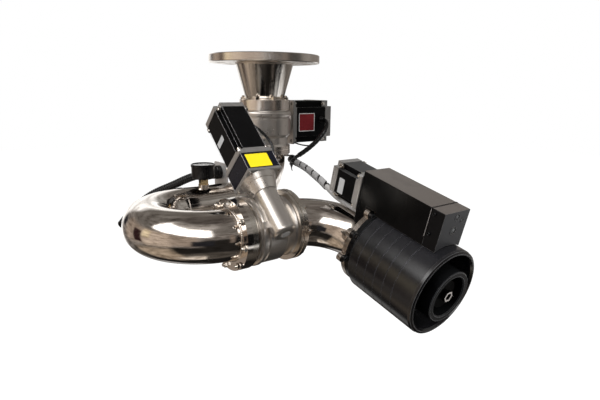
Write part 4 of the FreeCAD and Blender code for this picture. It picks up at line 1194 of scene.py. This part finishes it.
def room_colour(tree, way_out, up):
    """The parts of the room over a mottled wall, in uneven light."""
    sideways, ahead = (dot(tree, way_out, tuple(direction)) for direction in (RIGHT, AWAY))
    turn = maths(tree, "ARCTAN2", sideways, ahead) * (180 / math.pi)
    round_room = turn + maths(tree, "LESS_THAN", turn, 0.0) * 360.0
    flat = put(tree, "ShaderNodeMapping", {"Vector": way_out, "Scale": (1.0, 1.0, 3.5)}).outputs[0]
    clouds = noise(tree, flat, 4.0, 7.0, Roughness=0.65)
    room = ramp(tree, clouds, [(0.3, (0.15, 0.135, 0.12)), (0.7, (0.30, 0.27, 0.25))])
    for _, left, right, low, high, rise, soft, colour in ROOM:
        level = up - (round_room - left) * rise if rise else up
        mask = band(tree, round_room, left, right, soft) * band(tree, level, low, high, soft)
        room = mixed(tree, mask, room, colour)
    light = [(0.34, (0.45, 0.43, 0.41)), (0.5, (1.0, 1.0, 1.0)), (0.68, (1.5, 1.52, 1.55))]
    return mixed(tree, 1.0, room, ramp(tree, clouds, light), blend="MULTIPLY")


def add_world():
    """White to the eye, plain grey to matt surfaces, and a furnished room to glossy ones."""
    world = bpy.data.worlds.new("studio")
    bpy.context.scene.world = world
    world.use_nodes = True
    tree = world.node_tree
    tree.nodes.clear()
    way_out = put(tree, "ShaderNodeTexCoord").outputs["Generated"]
    up = maths(tree, "ARCSINE", put(tree, "ShaderNodeSeparateXYZ", {0: way_out}).outputs[2]) * (180 / math.pi)
    overhead = ramp(tree, up * (1 / 180) + 0.5, [(0.25, (0.10, 0.095, 0.09)), (0.75, (0.72, 0.71, 0.70))])
    room = background(tree, room_colour(tree, way_out, up))
    lit = shown(tree, "Is Glossy Ray", background(tree, overhead), room)
    whole = shown(tree, "Is Camera Ray", lit, background(tree, (1, 1, 1, 1)))
    put(tree, "ShaderNodeOutputWorld", {"Surface": whole})


def add_softbox(name, at, size, power, colour=(1, 1, 1)):
    """Soft lamp for matt surfaces; metal mirrors the room instead."""
    lamp = object_of(bpy.data.lights.new(name, "AREA"), name)
    look_along(lamp, at, centre("tilt_housing") - at)
    lamp.data.shape = "RECTANGLE"
    lamp.data.size, lamp.data.size_y = size
    lamp.data.energy = power
    lamp.data.color = colour
    lamp.visible_glossy = False


def floor_finish():
    """White to the eye but for the shadow on it, and plain grey in what it lights."""
    material = bpy.data.materials.new("pale floor")
    material.use_nodes = True
    tree = material.node_tree
    tree.nodes.clear()
    white = put(tree, "ShaderNodeEmission", {"Color": (1, 1, 1, 1), "Strength": 0.85}).outputs[0]
    matt = put(tree, "ShaderNodeBsdfDiffuse", {"Color": (0.3, 0.3, 0.3, 1)}).outputs[0]
    both = put(tree, "ShaderNodeAddShader", {0: white, 1: matt}).outputs[0]
    plain = put(tree, "ShaderNodeBsdfDiffuse", {"Color": (0.25, 0.25, 0.25, 1)}).outputs[0]
    put(tree, "ShaderNodeOutputMaterial", {"Surface": shown(tree, "Is Camera Ray", plain, both)})
    return material


def add_floor(drop=0.45, reach=6.0):
    """Pale floor well under the hanging head."""
    low = CAD_BOX[0].z - drop
    mesh = bpy.data.meshes.new("floor")
    corners = [(-reach, -reach, low), (reach, -reach, low), (reach, reach, low), (-reach, reach, low)]
    mesh.from_pydata(corners, [], [(0, 1, 2, 3)])
    floor = object_of(painted(mesh, floor_finish()), "floor")
    floor.visible_glossy = False


add_camera()
add_world()
add_floor()
middle = centre("tilt_housing")
add_softbox("key softbox", middle - AWAY * 0.9 - RIGHT * 0.5 + Z * 0.9, (0.7, 0.5), 9)
add_softbox("top softbox", middle + AWAY * 0.3 + Z * 1.3, (1.0, 0.8), 9)
add_softbox("right softbox", middle - AWAY * 0.5 + RIGHT * 1.2 + Z * 0.3, (0.5, 0.8), 4, (1.0, 0.96, 0.9))

bpy.context.scene.view_settings.view_transform = "Standard"
